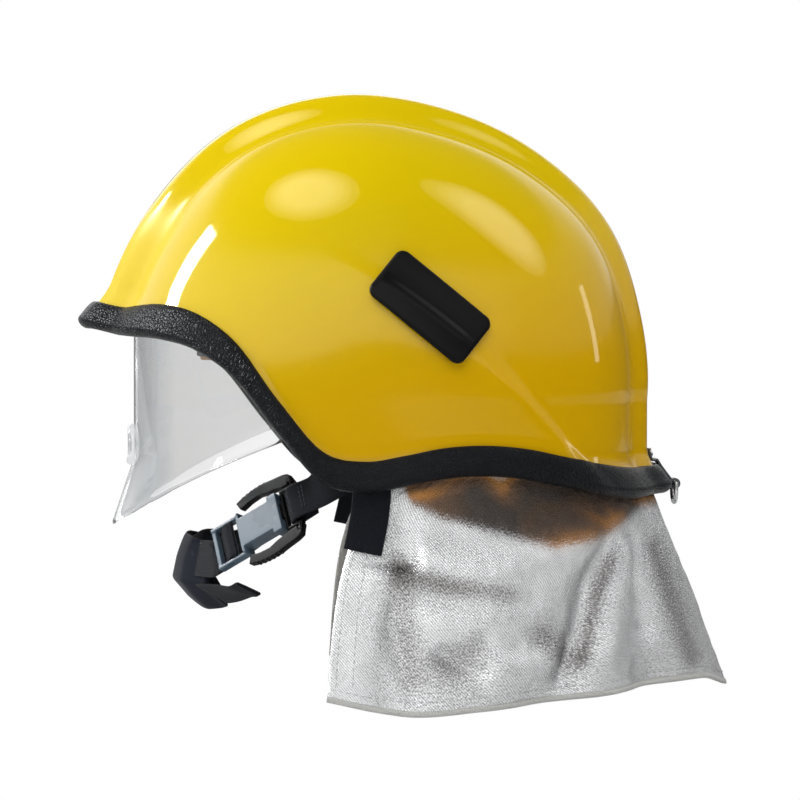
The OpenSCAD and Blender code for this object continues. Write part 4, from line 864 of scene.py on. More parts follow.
def liner():
    ribs, rings = 144, 40
    plan = np.arange(ribs) * 360 / ribs
    low = elevation(plan, along([24, 14, 0, -12], folded(plan) / 60))
    ups = 90 + (low[:, None] - 90) * (np.arange(rings) + 1) / rings
    plans = np.broadcast_to(plan[:, None], ups.shape)
    outer, inner = liner_point(plans, ups, 0.0), liner_point(plans, ups, 1.0)
    # The lower edge is rounded, as (share of the way inwards, drop)
    edge = [(0.04, 0.3), (0.16, 0.8), (0.5, 1.1), (0.84, 0.8), (0.96, 0.3)]
    rim = np.stack([mix(outer[:, -1], inner[:, -1], k) - [0, 0, drop] for k, drop in edge], 1)
    poles = [liner_point(np.array(0.0), np.array(90.0), depth) for depth in (0.0, 1.0)]
    sections = np.concatenate([outer, rim, inner[:, ::-1]], 1)
    return fit(domed("liner_shell", sections, poles, "liner"), "impact_liner")


BAND_W, BAND_T, BAND_H, BAND_Y = 77.0, 1.6, 30.0, -20
NAPE_W, NAPE_BACK, NAPE_T, NAPE_Y = 75.3, 97.0, 1.2, 40


def band_z(y):
    return mix(20.0, 2.0, smooth((y + 75) / 65))


def nape_z(y):
    return mix(2.0, -40.0, smooth((y - 46) / 46))


def band_plan(a, inset=0.0):
    """Point of the headband in plan, where a is 0 at the brow."""
    return (BAND_W - inset) * sind(a), BAND_Y - (BAND_W - inset) * cosd(a)


def nape_plan(a, inset=0.0):
    """Point of the nape band in plan, where a is 0 at the back."""
    return (NAPE_W - inset) * sind(a), NAPE_Y + (NAPE_BACK - NAPE_Y - inset) * cosd(a)


def band_ring(p, out, h, thick, count, turns):
    """Section of an upright band, with edges rounded at the given turns."""
    p, out, r = np.array(p, float), np.array(out, float), thick / 2
    z = np.linspace(h - r, r - h, count)
    ring = [p + out * r + [0, 0, k] for k in z]
    ring += [p + out * r * cosd(a) + [0, 0, r - h - r * sind(a)] for a in turns]
    ring += [p - out * r + [0, 0, k] for k in z[::-1]]
    return ring + [p - out * r * cosd(a) + [0, 0, h - r + r * sind(a)] for a in turns]


def headband():
    legs = np.linspace(40, 2, 12)
    rows = [([BAND_W, y], [1, 0, 0]) for y in legs]
    rows += [(band_plan(a), [sind(a), -cosd(a), 0]) for a in np.arange(90, -90.1, -3.0)]
    rows += [([-BAND_W, y], [-1, 0, 0]) for y in legs[::-1]]
    sections = []
    for (x, y), out in rows:
        h = mix(BAND_H, BAND_H * 0.7, smooth((y + 75) / 65)) / 2
        sections.append(band_ring([x, y, band_z(y)], out, h, BAND_T, 9, (30, 90, 150)))
    return fit(loft("brow_band", sections, "harness"), "headband_front")


def nape():
    legs = np.linspace(-4, 36, 10)
    rows = [([NAPE_W, y], [1, 0, 0]) for y in legs]
    rows += [(nape_plan(a), unit([sind(a), cosd(a) * NAPE_W / (NAPE_BACK - NAPE_Y), 0]))
             for a in np.arange(90, -90.1, -3.0)]
    rows += [([-NAPE_W, y], [-1, 0, 0]) for y in legs[::-1]]
    sections = []
    for (x, y), out in rows:
        h = mix(6.0, 11.0, smooth((y - 50) / 40))
        sections.append(band_ring([x, y, nape_z(y)], out, h, NAPE_T, 7, (90,)))
    return fit(loft("nape_strap", sections, "harness"), "nape_band", "nape")


def band_pad(name, rows, half_h, thick, slot, node, body, quilt):
    """Padded strip inside a band. A row is (place, inward direction), and quilt counts its channels."""
    n, high = len(rows), 15
    v = np.linspace(1, -1, high)
    seam = abs(np.sin(np.pi * quilt * np.arange(n) / (n - 1)))
    front, back = [], []
    for k, (p, inward) in enumerate(np.array(rows, float)):
        fade = np.sqrt(max(0.03, 1 - abs(2 * k / (n - 1) - 1) ** 7))
        h = half_h * mix(0.86, 1, fade)
        lift = thick * fade * np.sqrt(np.maximum(0.05, 1 - np.abs(v) ** 5)) * (0.45 + 0.55 * seam[k] ** 0.5)
        back.append([p + [0, 0, h * q] for q in v])
        front.append([p + [0, 0, h * q] + inward * d for q, d in zip(v, lift)])
    sections = np.concatenate([np.array(back), np.array(front)[:, ::-1]], 1)
    held = [i * 2 * high + j for i in range(n) for j in [*range(high + 1), 2 * high - 1]]
    held += [i * 2 * high + high + j for i in range(n) for j in range(high) if seam[i] < 0.09]
    obj = loft(name, sections, slot)
    puff(obj, held, 1.3)
    return fit(obj, node, body)


def band_pads():
    gap = BAND_T / 2 + SEAT
    rows = []
    for a in np.arange(50, -50.1, -2.0):
        x, y = band_plan(a, gap)
        rows.append(([x, y, band_z(y)], [-sind(a), cosd(a), 0]))
    band_pad("brow_cushion", rows, 17.0, 3.6, "leather", "brow_pad", "shell", 5)
    rows = []
    for a in np.arange(40, -40.1, -2.5):
        x, y = nape_plan(a, NAPE_T / 2 + SEAT)
        rows.append(([x, y, nape_z(y)], [-sind(a), -cosd(a), 0]))
    band_pad("nape_cushion", rows, 13.0, 3.1, "pad", "nape_pad", "nape", 3)


STRAP_W, STRAP_T, WEB_T = 20.0, 1.6, 1.2
CLIP_TURN, CLIP_END_Z, FRONT_CLIP_ANGLE, REAR_CLIP_R = [63.4, 135.0], [9.0, 24.0], 64.0, 88.67
CROWN_Z = 96


def crown_straps():
    """Two straps from the headband over the crown, where the second one passes over the first."""
    middle = MIDDLE[:2]
    front_clip = np.array(band_plan(FRONT_CLIP_ANGLE, -BAND_T / 2 - SEAT))
    rear_clip = middle + REAR_CLIP_R * np.array([sind(CLIP_TURN[1]), -cosd(CLIP_TURN[1])])
    clips = [front_clip, rear_clip]
    inset = [STRAP_T + 4 * SEAT + WEB_T / 2, SEAT + WEB_T / 2]
    ends = [clips[k] - np.array([sind(turn), -cosd(turn)]) * inset[k] for k, turn in enumerate(CLIP_TURN)]
    for name, side, lift in (("a", 1, 0.0), ("b", -1, WEB_T + 4 * SEAT)):
        route = []
        for a in [0, 5, *range(15, 166, 15), 175, 180]:
            k = 1 if a > 90 else 0
            x, y = (ends[k] - middle) * abs(cosd(a))
            z = mix(CLIP_END_Z[k], CROWN_Z + lift * sind(a) ** 4, sind(a))
            turn = mix(CLIP_TURN[0], 45.0, smooth((a - 15) / 30))
            route.append(([(-side if k else side) * x, middle[1] + y, z], [side * cosd(turn), sind(turn), 0]))
        obj, _ = webbing("crown_web_" + name, route, STRAP_W, WEB_T, steps=4)
        fit(obj, "crown_strap_" + name)


def crown_pad():
    """Round pad under the crossing, which droops with the straps."""
    radius, thick, droop, rings, count = 28, 3.2, 0.0092, 16, 60
    top = [(r, -droop * r * r) for r in np.linspace(1, radius, rings)]
    bottom = []
    for r, z in top[::-1]:
        quilted = 0.55 + 0.45 * abs(np.cos(r / radius * np.pi))
        bottom.append((r * 0.985, z - thick * np.sqrt(max(0.06, 1 - (r / radius) ** 6)) * quilted))
    turns = np.linspace(0, 360, count + 1)[:-1]
    top_z = CROWN_Z - WEB_T / 2 - SEAT
    points = [[r * sind(a), MIDDLE[1] + r * cosd(a), top_z + z] for r, z in top + bottom for a in turns]
    last = (2 * rings - 1) * count
    faces = grid_faces(2 * rings, count, wrap_cols=True)
    faces += [list(range(count)), [last + k for k in range(count)][::-1]]
    seams = [k * count + j for k in (16, 23, 24, 31) for j in range(count)]
    obj = make("crown_cushion", points, faces, "pad")
    puff(obj, list(range(rings * count)) + seams, 1.0)
    return fit(obj, "crown_pad")


# Chin strap

def turned(v):
    """Turns a vector from the buckle's own axes to the helmet's."""
    x, y, z = (np.asarray(v, float)[..., k] for k in range(3))
    a, b, c = np.radians([30, -18.5, -43.7])
    y, z = y * np.cos(a) - z * np.sin(a), y * np.sin(a) + z * np.cos(a)
    x, z = x * np.cos(b) + z * np.sin(b), z * np.cos(b) - x * np.sin(b)
    x, y = x * np.cos(c) - y * np.sin(c), x * np.sin(c) + y * np.cos(c)
    return np.stack([x, y, z], -1)


BUCKLE = np.array([79, -64, -82.5])
ACROSS = turned([0, 0, 1])
ANCHOR_X, WEB_LIFT, BAR_Y, LADDER_Y, LADDER_END = 112.979, 3.0, 21.5, -21.0, -32.5
CHIN_Y, CHIN_Z = -103.6, -103.5
CHIN_ACROSS = np.array([0, -0.26, -0.97])
OPPOSITE = np.array([-1, 1, 1])


def at_buckle(x, y):
    return BUCKLE + turned([x, y, 0])


def by_buckle(*places):
    """Rows of a strap's route at places in the buckle's own axes."""
    return [(at_buckle(x, y), -ACROSS) for x, y in places]


def chin_strap_left():
    """The short leg, from its hanger through the buckle's bar, with its sewn loop."""
    leg = [
        ([ANCHOR_X, 10.5, -35.2], [0, 0.45, -0.9]),
        ([ANCHOR_X, 3.5, -38.8], [0, 0.46, -0.89]),
        ([ANCHOR_X - 2.8, -4.5, -43], [0, 0.48, -0.88]),
        ([ANCHOR_X - 6, -14.5, -49], [-0.05, 0.5, -0.86]),
        ([ANCHOR_X - 11, -31, -60], -mix(np.array([0, -0.5, 0.86]), ACROSS, 0.5))]
    leg += by_buckle((1, BAR_Y + 14), (WEB_LIFT + 0.3, BAR_Y + 4), (WEB_LIFT, BAR_Y), (0, BAR_Y - WEB_LIFT),
                     (-WEB_LIFT, BAR_Y), (-WEB_LIFT, BAR_Y + 5), (-WEB_LIFT + 0.4, BAR_Y + 12))
    obj, (p, w, n, run) = webbing("chin_web_left", leg, STRAP_W, STRAP_T, crown=0.12)
    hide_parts("chin_strap_left")
    threads = []
    for offset in (24.0, 27.0, 34.0, 37.0):
        k = min(np.searchsorted(run, run[-1] * 0.42 + offset), len(p) - 1)
        across = np.linspace(-8, 8, 9)[:, None]
        threads.append((p[k] + w[k] * across + n[k] * (STRAP_T / 2 + 0.1), np.repeat(n[k][None], 9, 0)))
    sewn = stitches("chin_web_left_thread", threads, "thread_dark", length=2.0, gap=0.8)
    for piece in (obj, sewn):
        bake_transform(piece)


def chin_strap_right():
    """The long strap, from the buckle's ladder under the chin and up to its hanger, and its free tail."""
    long_strap = by_buckle((WEB_LIFT, LADDER_Y + 3), (WEB_LIFT, LADDER_Y - 1), (0, LADDER_Y - 5.2),
                           (-WEB_LIFT - 0.9, LADDER_END + 2.4), (-WEB_LIFT - 1.3, LADDER_END - 1.5),
                           (-4.4, LADDER_END - 6))
    far_across = -ACROSS * OPPOSITE
    long_strap += [
        ([42, -95.6, -103], mix(-ACROSS, CHIN_ACROSS, 0.7)),
        ([22, CHIN_Y + 2.4, CHIN_Z], CHIN_ACROSS),
        ([0, CHIN_Y, CHIN_Z], CHIN_ACROSS),
        ([-22, CHIN_Y + 3.4, CHIN_Z], CHIN_ACROSS),
        ([-44, -93, -102], mix(far_across, CHIN_ACROSS, 0.6))]
    long_strap += [(at_buckle(*place) * OPPOSITE + [0, 14, -5], far_across)
                   for place in ((0, LADDER_END), (0, 0), (1, BAR_Y + 6))]
    long_strap += [
        ([-ANCHOR_X + 6, -10.5, -52.5], [0.05, 0.5, -0.86]),
        ([-ANCHOR_X + 2.6, -3, -44], [0, 0.48, -0.88]),
        ([-ANCHOR_X, 3.5, -38.8], [0, 0.46, -0.89]),
        ([-ANCHOR_X, 10.5, -35.2], [0, 0.45, -0.9])]
    obj, _ = webbing("chin_web_right", long_strap, STRAP_W, STRAP_T, crown=0.12)
    fit(obj, "chin_strap_right")
    tail = [([20, -98, -120.5], [0.1, 0.75, -0.66]), ([38, -92.5, -122], [0.1, 0.8, -0.6]),
            ([54, -84, -121], [0.2, 0.85, -0.45]), ([68, -76, -119], [0.1, 0.8, -0.15]),
            ([74, -71.5, -117], [0.1, 0.7, -0.1])]
    obj, _ = webbing("chin_web_tail", tail, STRAP_W * 0.8, STRAP_T, crown=0.1)
    fit(obj, "strap_tail")


def creased(rows, at):
    """Places on straight lines between the rows, where at counts them from 0."""
    return np.stack([np.interp(at, np.arange(len(rows)), rows[:, k]) for k in (0, 1)], -1)


def chin_pad():
    """Folded pad in front of the chin, swollen between its bound edges."""
    fold = np.array([[-104.5, -91], [-109, -104], [-111.5, -116], [-103, -126], [-95, -133]], float)
    reach, thick, high = 46.0, 2.5, 25
    s = np.linspace(0, 4, high)
    sections = []
    for x in np.linspace(reach, -reach, 61):
        share = abs(x) / reach
        back = 9.5 * share ** 2 + 7 * smooth((abs(x) - 28) / 16)
        rows = fold[2] + (fold - fold[2]) * (1 - 0.25 * share ** 4)
        t = unit(creased(rows, np.minimum(4, s + 0.1)) - creased(rows, np.maximum(0, s - 0.1)))
        front = np.stack([-t[:, 1], t[:, 0]], -1)
        edge = np.sqrt(np.maximum(0.12, 1 - np.abs(s / 2 - 1) ** 8))
        half = 0.5 * thick * edge * (1 - 0.25 * share ** 8)
        mid = creased(rows, s) + front * thick / 2
        lower, upper = (mid + front * half[:, None] * sign for sign in (-1, 1))
        sections.append([[x, y + back, z] for y, z in np.concatenate([lower, upper[::-1]])])
    count, n = len(sections), 2 * high
    bound = [0, 1, high - 2, high - 1, high, high + 1, n - 2, n - 1]
    held = [i * n + j for i in range(count) for j in bound]
    held += [k * n + j for k in (0, 1, count - 2, count - 1) for j in range(n)]
    obj = loft("chin_cushion", sections, "pad")
    puff(obj, held, 0.5)
    return fit(obj, "chin_pad")


TAB_WALL_X = 116.48
# Place of a throat tab's middle line, with x out from TAB_WALL_X, and its slant
THROAT_ROUTE = [([-1.7, -14, -36], 0), ([-1.7, -13, -43], 0), ([-3.6, -11.5, -49], 0), ([-2.8, -9.5, -58], 0),
                ([-1.3, -9, -66], 0), ([0.8, -10.8, -80], 0), ([2.6, -14, -95], 12)]


def throat_tab(name, flip, back_by):
    """Tab of the cape. The far one is set back, because the photo's view hides it."""
    route = []
    for (x, y, z), slant in THROAT_ROUTE:
        place = np.array([x + TAB_WALL_X, y + back_by * smooth((-38 - z) / 16), z])
        route.append((place * flip, np.array([0.06, cosd(slant), -sind(slant)]) * flip))
    obj, _ = webbing("throat_web_" + name, route, STRAP_W, STRAP_T, crown=0.1)
    return fit(obj, "throat_tab_" + name)


# Neck cape

HEM_PLAN = [[0, 195], [40, 174.5], [68, 146], [92, 113], [109, 80], [120, 47], [127, 8], [126, -33]]
HEM_Z = [-176, -168.5, -169.5, -172, -174.5, -177, -179, -171]
# Place along the hem, half width and height of the folds that hang from the rim
FOLDS = [(0.885, 0.035, -0.9), (0.72, 0.09, 0.5), (0.56, 0.06, -0.6), (0.42, 0.07, 0.8), (0.29, 0.05, -0.9),
         (0.17, 0.06, 0.6)]
CAPE_T = 1.0
IN_TRIM = WALL + TRIM_LEG + SEAT
# How far the far edge of the cape is set back at the hem, because the photo's view hides it
FAR_EDGE_BACK = 14


def skin_at(plan, s):
    return skin(plan, elevation(plan, rim_z(plan) + s), s)


def dome_outward(plan):
    return dome_normal(on_dome(heading(plan, np.full(plan.shape, -20.0))))


def cape_point(c, row, depth):
    """Point and outward direction. c runs from 1 at the left edge to -1 at the right one, and row is 0 at
    the top, 1 at the rim and 2 at the hem."""
    c, row, depth = arrays(c, row, depth)
    a, side = np.abs(c), np.where(c < 0, -1.0, 1.0)
    plan = mix(180.0, np.where(c < 0, 93.0, 87.0), a)
    out = dome_outward(plan)
    at_rim = IN_TRIM + mix(1.8, 3.6, smooth(a * 2)) - depth
    inside = IN_TRIM + mix(1.6, 3.6, smooth(a * 2) * row) - depth
    rim_p = skin_at(plan, 0) - out * at_rim[..., None]
    top_s = mix(26.0, 4.0, smooth((a - 0.6) / 0.25))
    upper = skin_at(plan, top_s * (1 - np.minimum(1, row))) - out * inside[..., None]
    v = np.maximum(0, row - 1)
    share = v ** 0.92
    hem = along(HEM_PLAN, a * 7)
    folds = sum(height * bell((a - at) / half) for at, half, height in FOLDS)
    lift = 5 * v ** 1.4 * folds + depth * share
    forward = (FAR_EDGE_BACK * v * (c < 0) - 12 * np.sin(np.pi * v ** 0.6)) * smooth((a - 0.7) / 0.3)
    x = mix(rim_p[..., 0], hem[..., 0], share) + out[..., 0] * lift
    y = mix(rim_p[..., 1], hem[..., 1], share) + forward + out[..., 1] * lift
    z = mix(rim_z(plan) - 4, along(HEM_Z, a * 7), v)
    p = np.where((row < 1)[..., None], upper, np.stack([x, y, z], -1))
    flip = np.stack([side, np.ones_like(side), np.ones_like(side)], -1)
    return p * flip, out * flip


# Creases and swells that the hanging cloth has, as lines over it in y and z, with their half width and height
SWELLS = [
    ([(10, -105), (42, -109), (68, -108), (93, -98), (108, -90)], 15, 8.0),
    ([(16, -117), (45, -121), (72, -118)], 9, -4.5),
    ([(119, -93), (111, -110), (104.5, -140), (95, -160)], 9, -8.0),
    ([(130, -98), (126, -119), (119, -146)], 8, 4.5),
    ([(136, -91), (138, -114), (144, -140)], 6, -4.5),
    ([(8, -66), (6.4, -97), (0.7, -134), (12, -170)], 5, -2.4),
    ([(26, -130), (50, -129), (78, -128)], 12, 4.0),
    ([(57, -157), (70, -158), (84, -152)], 10, 6.5),
    ([(30, -150), (46, -158)], 7, -4.0),
]
# Lines of painted reflection, where the silvered face is brighter, and painted shade, where it is darker, in
# the same form
PAINTED_SHINE_AND_SHADE = [
    ([(-20, -76), (-21, -120), (-20, -166)], 9, 0.26),
    ([(2, -83), (6, -120), (12, -161)], 8, -0.22),
    ([(12, -86), (42, -95), (75, -102), (101, -93)], 13, 0.34),
    ([(6, -105), (31, -112), (63, -117)], 7, -0.34),
    ([(26, -134), (57, -123), (86, -121)], 11, 0.16),
    ([(124, -95), (112, -121), (104, -152)], 5, -0.34),
    ([(109, -93), (133, -93)], 7, 0.25),
    ([(135, -115), (136, -146)], 8, 0.12),
    ([(149, -99), (160, -130), (169, -157)], 8, -0.32),
    ([(55, -140), (74, -153)], 6, 0.32),
    ([(29, -155), (49, -140)], 9, -0.18),
    ([(81, -140), (98, -157)], 8, -0.24),
]
# Lowest height that the painted reflection of the yellow shell reaches on the cloth, by y
SHELL_REFLECTION_EDGE = [[4, -60], [12, -70], [28, -78], [58, -86], [88, -94], [118, -90], [142, -76], [200, -72]]


def strokes(rows, p):
    """Sum of the listed lines' heights at points of the cloth."""
    y, z = p[..., 1], p[..., 2]
    total = np.zeros(y.shape)
    for line, half, height in rows:
        nearest = np.full(y.shape, 1e9)
        for a, b in zip(np.array(line, float), np.array(line[1:], float)):
            d = b - a
            k = np.clip(((y - a[0]) * d[0] + (z - a[1]) * d[1]) / (d @ d), 0, 1)
            nearest = np.minimum(nearest, np.hypot(y - a[0] - k * d[0], z - a[1] - k * d[1]))
        total += height * bell(nearest / half)
    return total


def crumple(c, row):
    """Creases of the stiff cloth, in millimetres, which die away at the rim."""
    where = np.stack([c * 260, row * 110, 0 * c + np.where(c < 0, 40, 0)], -1)
    big, mid, fine = wander(where, 0.03, 2.0), wander(where + 7, 0.075, 5.0), wander(where - 11, 0.17, 9.0)
    p = cape_point(c, row, 0.0)[0]
    ridge = 1.2 * big + 0.6 * (0.4 - np.abs(mid) * 2) + 0.25 * fine + strokes(SWELLS, p)
    # The cloth stays behind the throat tabs that lie on it
    under_tab = smooth((p[..., 1] + 36) / 9) * smooth((19 - p[..., 1]) / 9) * smooth((p[..., 2] + 109) / 9)
    ridge -= under_tab * (np.maximum(ridge, 0) + 1.0)
    return ridge * smooth((row - 1.02) / 0.25) * (1 - 0.4 * smooth((row - 1.93) / 0.07))


def cape_cloth(outer, inner, flat):
    """The sheet with both faces and its edges, and the painted reflections and painted shade that its
    silvered face carries.
    """
    n = outer.shape[0] * outer.shape[1]
    front = grid_faces(*outer.shape[:2])
    faces = front + grid_faces(*outer.shape[:2], start=n)
    ids = np.arange(n).reshape(outer.shape[:2])
    for edge in (ids[:, 0], ids[:, -1], ids[0], ids[-1]):
        faces += np.stack([edge[:-1], edge[1:], edge[1:] + n, edge[:-1] + n], -1).tolist()
    points = np.concatenate([outer.reshape(-1, 3), inner.reshape(-1, 3)])
    obj = make("cape_cloth", points, faces, "cape", uv=np.concatenate([flat.reshape(-1, 2)] * 2))
    both = np.concatenate([outer.reshape(-1, 3)] * 2)
    y, z = both[:, 1], both[:, 2]
    # Share of the painted reflection of the shell, high on the cloth below the rim
    painted_shell_reflection = smooth((z - np.interp(y, *np.array(SHELL_REFLECTION_EDGE, float).T)) / 15 + 0.5) * smooth((y - 4) / 8)
    for key, values in (("silver", 0.55 + strokes(PAINTED_SHINE_AND_SHADE, both)), ("painted_shell_reflection", painted_shell_reflection)):
        obj.data.attributes.new(key, "FLOAT", "POINT").data.foreach_set("value", values.astype(np.float32))
    obj.data.materials.append(MATERIALS["cape_back"])
    back = range(len(front), 2 * len(front))
    obj.data.polygons.foreach_set("material_index", [int(k in back) for k in range(len(faces))])
    return fit(obj, "neck_cape")


# Share of the tape's height, distance from the cloth and drop of its section's points, from the top down
HEM_RING = [(1, 0.1, 0), (0.9, 0.45, 0), (0.4, 0.55, 0), (0, 0.45, 0.3), (0, 0.1, 1)]


def cape_binding(outer, inner, out, run_across):
    """Tape folded round the lower edge."""
    down = np.array([0, 0, -1.0])
    o, q, n = outer[:, -1], inner[:, -1], out[:, -1]
    top = unit(outer[:, -3] - o) * 2.2
    front = [o + top * up + n * away + down * drop for up, away, drop in HEM_RING]
    back = [q + top * up - n * away + down * drop for up, away, drop in HEM_RING[::-1]]
    uv = np.stack(np.broadcast_arrays(run_across[:, None], np.arange(10)[None] * 1.1), -1)
    return fit(loft("cape_binding", np.stack(front + back, 1), "binding", uv=uv), "cape_hem")


def cape_threads():
    """One row of stitches along the hem and two down each side."""
    rows = [(np.linspace(0.995, -0.995, 500), 1.945)]
    rows += [(at, np.linspace(1.06, 1.94, 120)) for at in (0.985, 0.955, -0.985, -0.955)]
    lines = []
    for c, row in rows:
        c, row = arrays(c, row)
        p, out = cape_point(c, row, 0.0)
        lines.append((p + out * (crumple(c, row) + 0.08)[..., None], out))
    obj = stitches("cape_thread", lines, "thread_pale", length=2.6, gap=1.3, radius=0.24)
    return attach(obj, "shell")


def cape():
    cols, rows_in, rows_out = 321, 15, 81
    row = np.concatenate([np.linspace(0, 1, rows_in + 1)[:-1], np.linspace(1, 2, rows_out)])
    c, row = np.meshgrid(np.linspace(1, -1, cols), row, indexing="ij")
    lift = crumple(c, row)[..., None]
    outer, out = cape_point(c, row, 0.0)
    outer = outer + out * lift
    inner = cape_point(c, row, -CAPE_T)[0] + out * lift
    run_down, run_across = run_along(outer[cols // 3]), run_along(outer[:, (rows_in + rows_out) // 2])
    flat = np.stack(np.broadcast_arrays(run_across[:, None], run_down[None]), -1)
    cloth = cape_cloth(outer, inner, flat)
    hem = cape_binding(outer, inner, out, run_across)
    threads = cape_threads()


# Height above the rim and depth of the points round a tape's section
TAPE_RING = [(25, 0), (20, -0.15), (15.5, 0), (14.6, 0.6), (15.5, 1.4), (20, 1.5), (25, 1.4), (25.6, 0.6)]


def cape_tape(name, side):
    """Hook tape inside the rim, which holds the cape. The left one replaces the node of both."""
    plan = np.linspace(106, 172, 60) * side
    out = dome_outward(plan)
    rings = [skin_at(plan, s) - out * (WALL + 4 * SEAT + depth) for s, depth in TAPE_RING]
    obj = loft("cape_tape_" + name, np.stack(rings, 1), "hook_tape")
    if side == 1:
        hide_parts("cape_bands")
    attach(obj, "shell")


# Everything on the object

shell()
edge_trim()
side_plate("left")
side_plate("right")
shield()
finger_tab()
liner()
headband()
nape()
band_pads()
crown_straps()
crown_pad()
chin_strap_left()
chin_strap_right()
chin_pad()
throat_tab("left", np.array([1, 1, 1]), 0)
throat_tab("right", OPPOSITE, 7)
cape()
cape_tape("left", 1)
cape_tape("right", -1)
soften("buckle_housing", "buckle_female", "buckle", 0.33, 5)
soften("buckle_insert_moulding", "buckle_male", "black_plastic", 0.3, 4)
soften("buckle_arm_upper", "release_arm_upper", "black_plastic", 0.28, 5)
soften("buckle_arm_lower", "release_arm_lower", "black_plastic", 0.28, 5)
soften("nape_housing", "ratchet_housing", "harness", 0.6, 6)
soften("nape_cover", "ratchet_cover", "black_plastic", 0.4, 4)
soften("nape_knob", "ratchet_knob", "black_plastic", 0.45, 5)
soften("shield_arm_left", "visor_arm_left", "black_plastic", 0.5, 4)
soften("shield_arm_right", "visor_arm_right", "black_plastic", 0.5, 4)
soften("hanger_plate", "rear_bracket", "dark_steel", 0.25, 3)


# Studio, in metres

FLOOR_Z, FLOOR_HALF = -0.186, 3
LAMP_TARGET, CAMERA_TARGET = Vector((0, 0, 0.02)), Vector((0, 0.01375, -0.01925))
CAMERA_AZ, CAMERA_EL, CAMERA_DISTANCE = 86, 1.5, 2.0


def direction(az, el):
    """Unit vector at an azimuth, from the front towards the wearer's left, and an elevation."""
    return Vector((float(sind(az) * cosd(el)), float(-cosd(az) * cosd(el)), float(sind(el))))


def aim(obj, away, distance, target):
    obj.location = target + away * distance
    obj.rotation_euler = away.to_track_quat("Z", "Y").to_euler()


def light(name, az, el, distance, width, height, power,
          mirrored_too=True, lights_too=True, shape="RECTANGLE"):
    data = bpy.data.lights.new(name, "AREA")
    data.shape = shape
    data.size, data.size_y = width, height
    data.energy = power
    obj = put(name, data)
    aim(obj, direction(az, el), distance, LAMP_TARGET)
    obj.visible_glossy = mirrored_too
    obj.visible_diffuse = lights_too


def soft_light(name, az, el, distance, width, height, power):
    """A window whose edge fades out, made of nested ellipses."""
    steps = (1.3, 1.12, 0.95, 0.75)
    for k, grown in enumerate(steps):
        light(f"{name}_{k}", az, el, distance + 0.01 * k, width * grown, height * grown,
              power * grown ** 2 / len(steps), shape="ELLIPSE")


def camera():
    data = bpy.data.cameras.new("camera")
    data.lens = 163.6
    data.sensor_width = 36
    data.clip_end = 50
    obj = put("camera", data)
    aim(obj, direction(CAMERA_AZ, CAMERA_EL), CAMERA_DISTANCE, CAMERA_TARGET)
    bpy.context.scene.camera = obj


def ray_kinds(tree):
    """The light path's outputs, and 1 for what the camera sees itself or through the shield."""
    path = tree.add("LightPath").outputs
    return path, tree.math("MAXIMUM", path["Is Camera Ray"], path["Is Transmission Ray"])


def floor():
    """Pale ground, seen as plain white. It is clear from below, so that the inside shows."""
    corners = [(x * FLOOR_HALF, y * FLOOR_HALF, FLOOR_Z) for x, y in ((-1, -1), (1, -1), (1, 1), (-1, 1))]
    mesh = bpy.data.meshes.new("floor")
    mesh.from_pydata(corners, [], [[0, 1, 2, 3]])
    mat = bpy.data.materials.new("mat_floor")
    mat.use_nodes = True
    tree = Tree(mat.node_tree)
    matt = mat.node_tree.nodes["Principled BSDF"]
    tree.feed(matt.inputs["Base Color"], (0.86, 0.86, 0.86, 1))
    tree.feed(matt.inputs["Roughness"], 0.9)
    seen = ray_kinds(tree)[1]
    top = tree.choose(seen, matt, tree.add("Emission"))
    below = tree.add("NewGeometry").outputs["Backfacing"]
    both = tree.choose(below, top, tree.add("BsdfTransparent"))
    tree.feed(mat.node_tree.nodes["Material Output"].inputs["Surface"], both.outputs[0])
    mesh.materials.append(mat)
    put("floor", mesh)


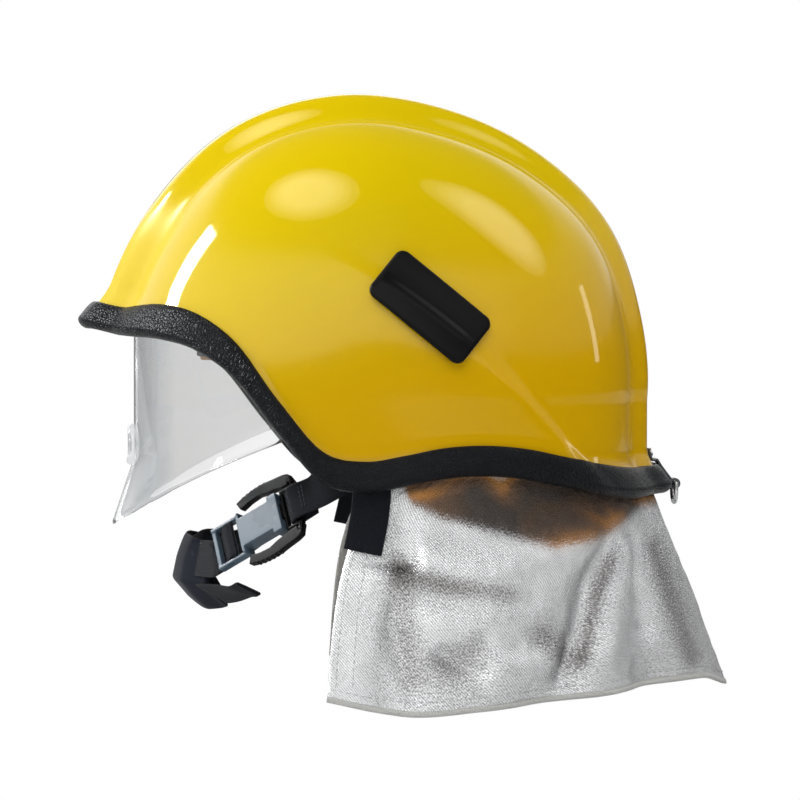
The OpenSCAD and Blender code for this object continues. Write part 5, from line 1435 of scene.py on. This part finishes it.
# Brightness of the room that gloss shows, by height from -1 to 1: a pale band half way up its walls
WALL_TONES = [(-1.0, 0.25), (-0.1, 0.2), (0.04, 0.12), (0.14, 0.6), (0.25, 2.3), (0.56, 1.8), (0.72, 0.25),
              (1.0, 0.05)]


def mirrored_strength(tree):
    """The walls, dimmed behind the helmet, and the pale backdrop that shows at grazing edges."""
    place = tree.add("SeparateXYZ", {0: tree.add("TexCoord").outputs["Generated"]}).outputs
    walls = tree.add("FloatCurve", {"Value": tree.ranged(place["Z"], -1.0, 1.0)})
    points = walls.mapping.curves[0].points
    tones = [((z + 1) / 2, tone) for z, tone in WALL_TONES]
    points[0].location, points[1].location = tones[0], tones[-1]
    for at in tones[1:-1]:
        points.new(*at)
    walls.mapping.update()
    behind = tree.ranged(place["Y"], 0.1, 0.75, 1.0, 0.3)
    dimmed = tree.math("MULTIPLY", walls.outputs["Value"], behind)
    return tree.math("MAXIMUM", dimmed, tree.ranged(place["X"], -0.8, -0.97, 0.0, 0.55))


def world():
    """White to the eye, grey to matt surfaces, and a studio to glossy ones."""
    studio = bpy.data.worlds.new("studio")
    bpy.context.scene.world = studio
    studio.use_nodes = True
    studio.node_tree.nodes.clear()
    tree = Tree(studio.node_tree)
    path, seen = ray_kinds(tree)
    white = tree.add("Background", {"Color": (1, 1, 1, 1)})
    room = tree.add("Background", {"Color": (0.25, 0.25, 0.25, 1)})
    mirrored = tree.add("Background", {"Strength": mirrored_strength(tree)})
    unseen = tree.choose(path["Is Glossy Ray"], room, mirrored)
    tree.add("OutputWorld", {"Surface": tree.choose(seen, unseen, white).outputs[0]})


light("key_window", -8, 30, 1.6, 0.26, 0.5, 9.5)
light("key_glare", -9, 30, 1.6, 0.28, 0.5, 14, lights_too=False)
light("low_window", 12, 7, 1.5, 0.34, 0.1, 2.4)
soft_light("top_front", 38, 66, 1.5, 0.75, 0.6, 5.0)
soft_light("top_rear", 160, 52, 1.5, 0.5, 0.85, 3.8)
light("rear_strip", -172, 12, 1.4, 0.1, 0.4, 0.4)
light("side_fill", 80, 52, 2.4, 1.5, 1.0, 17, mirrored_too=False)
camera()
floor()
world()
bpy.context.scene.view_settings.view_transform = "Standard"
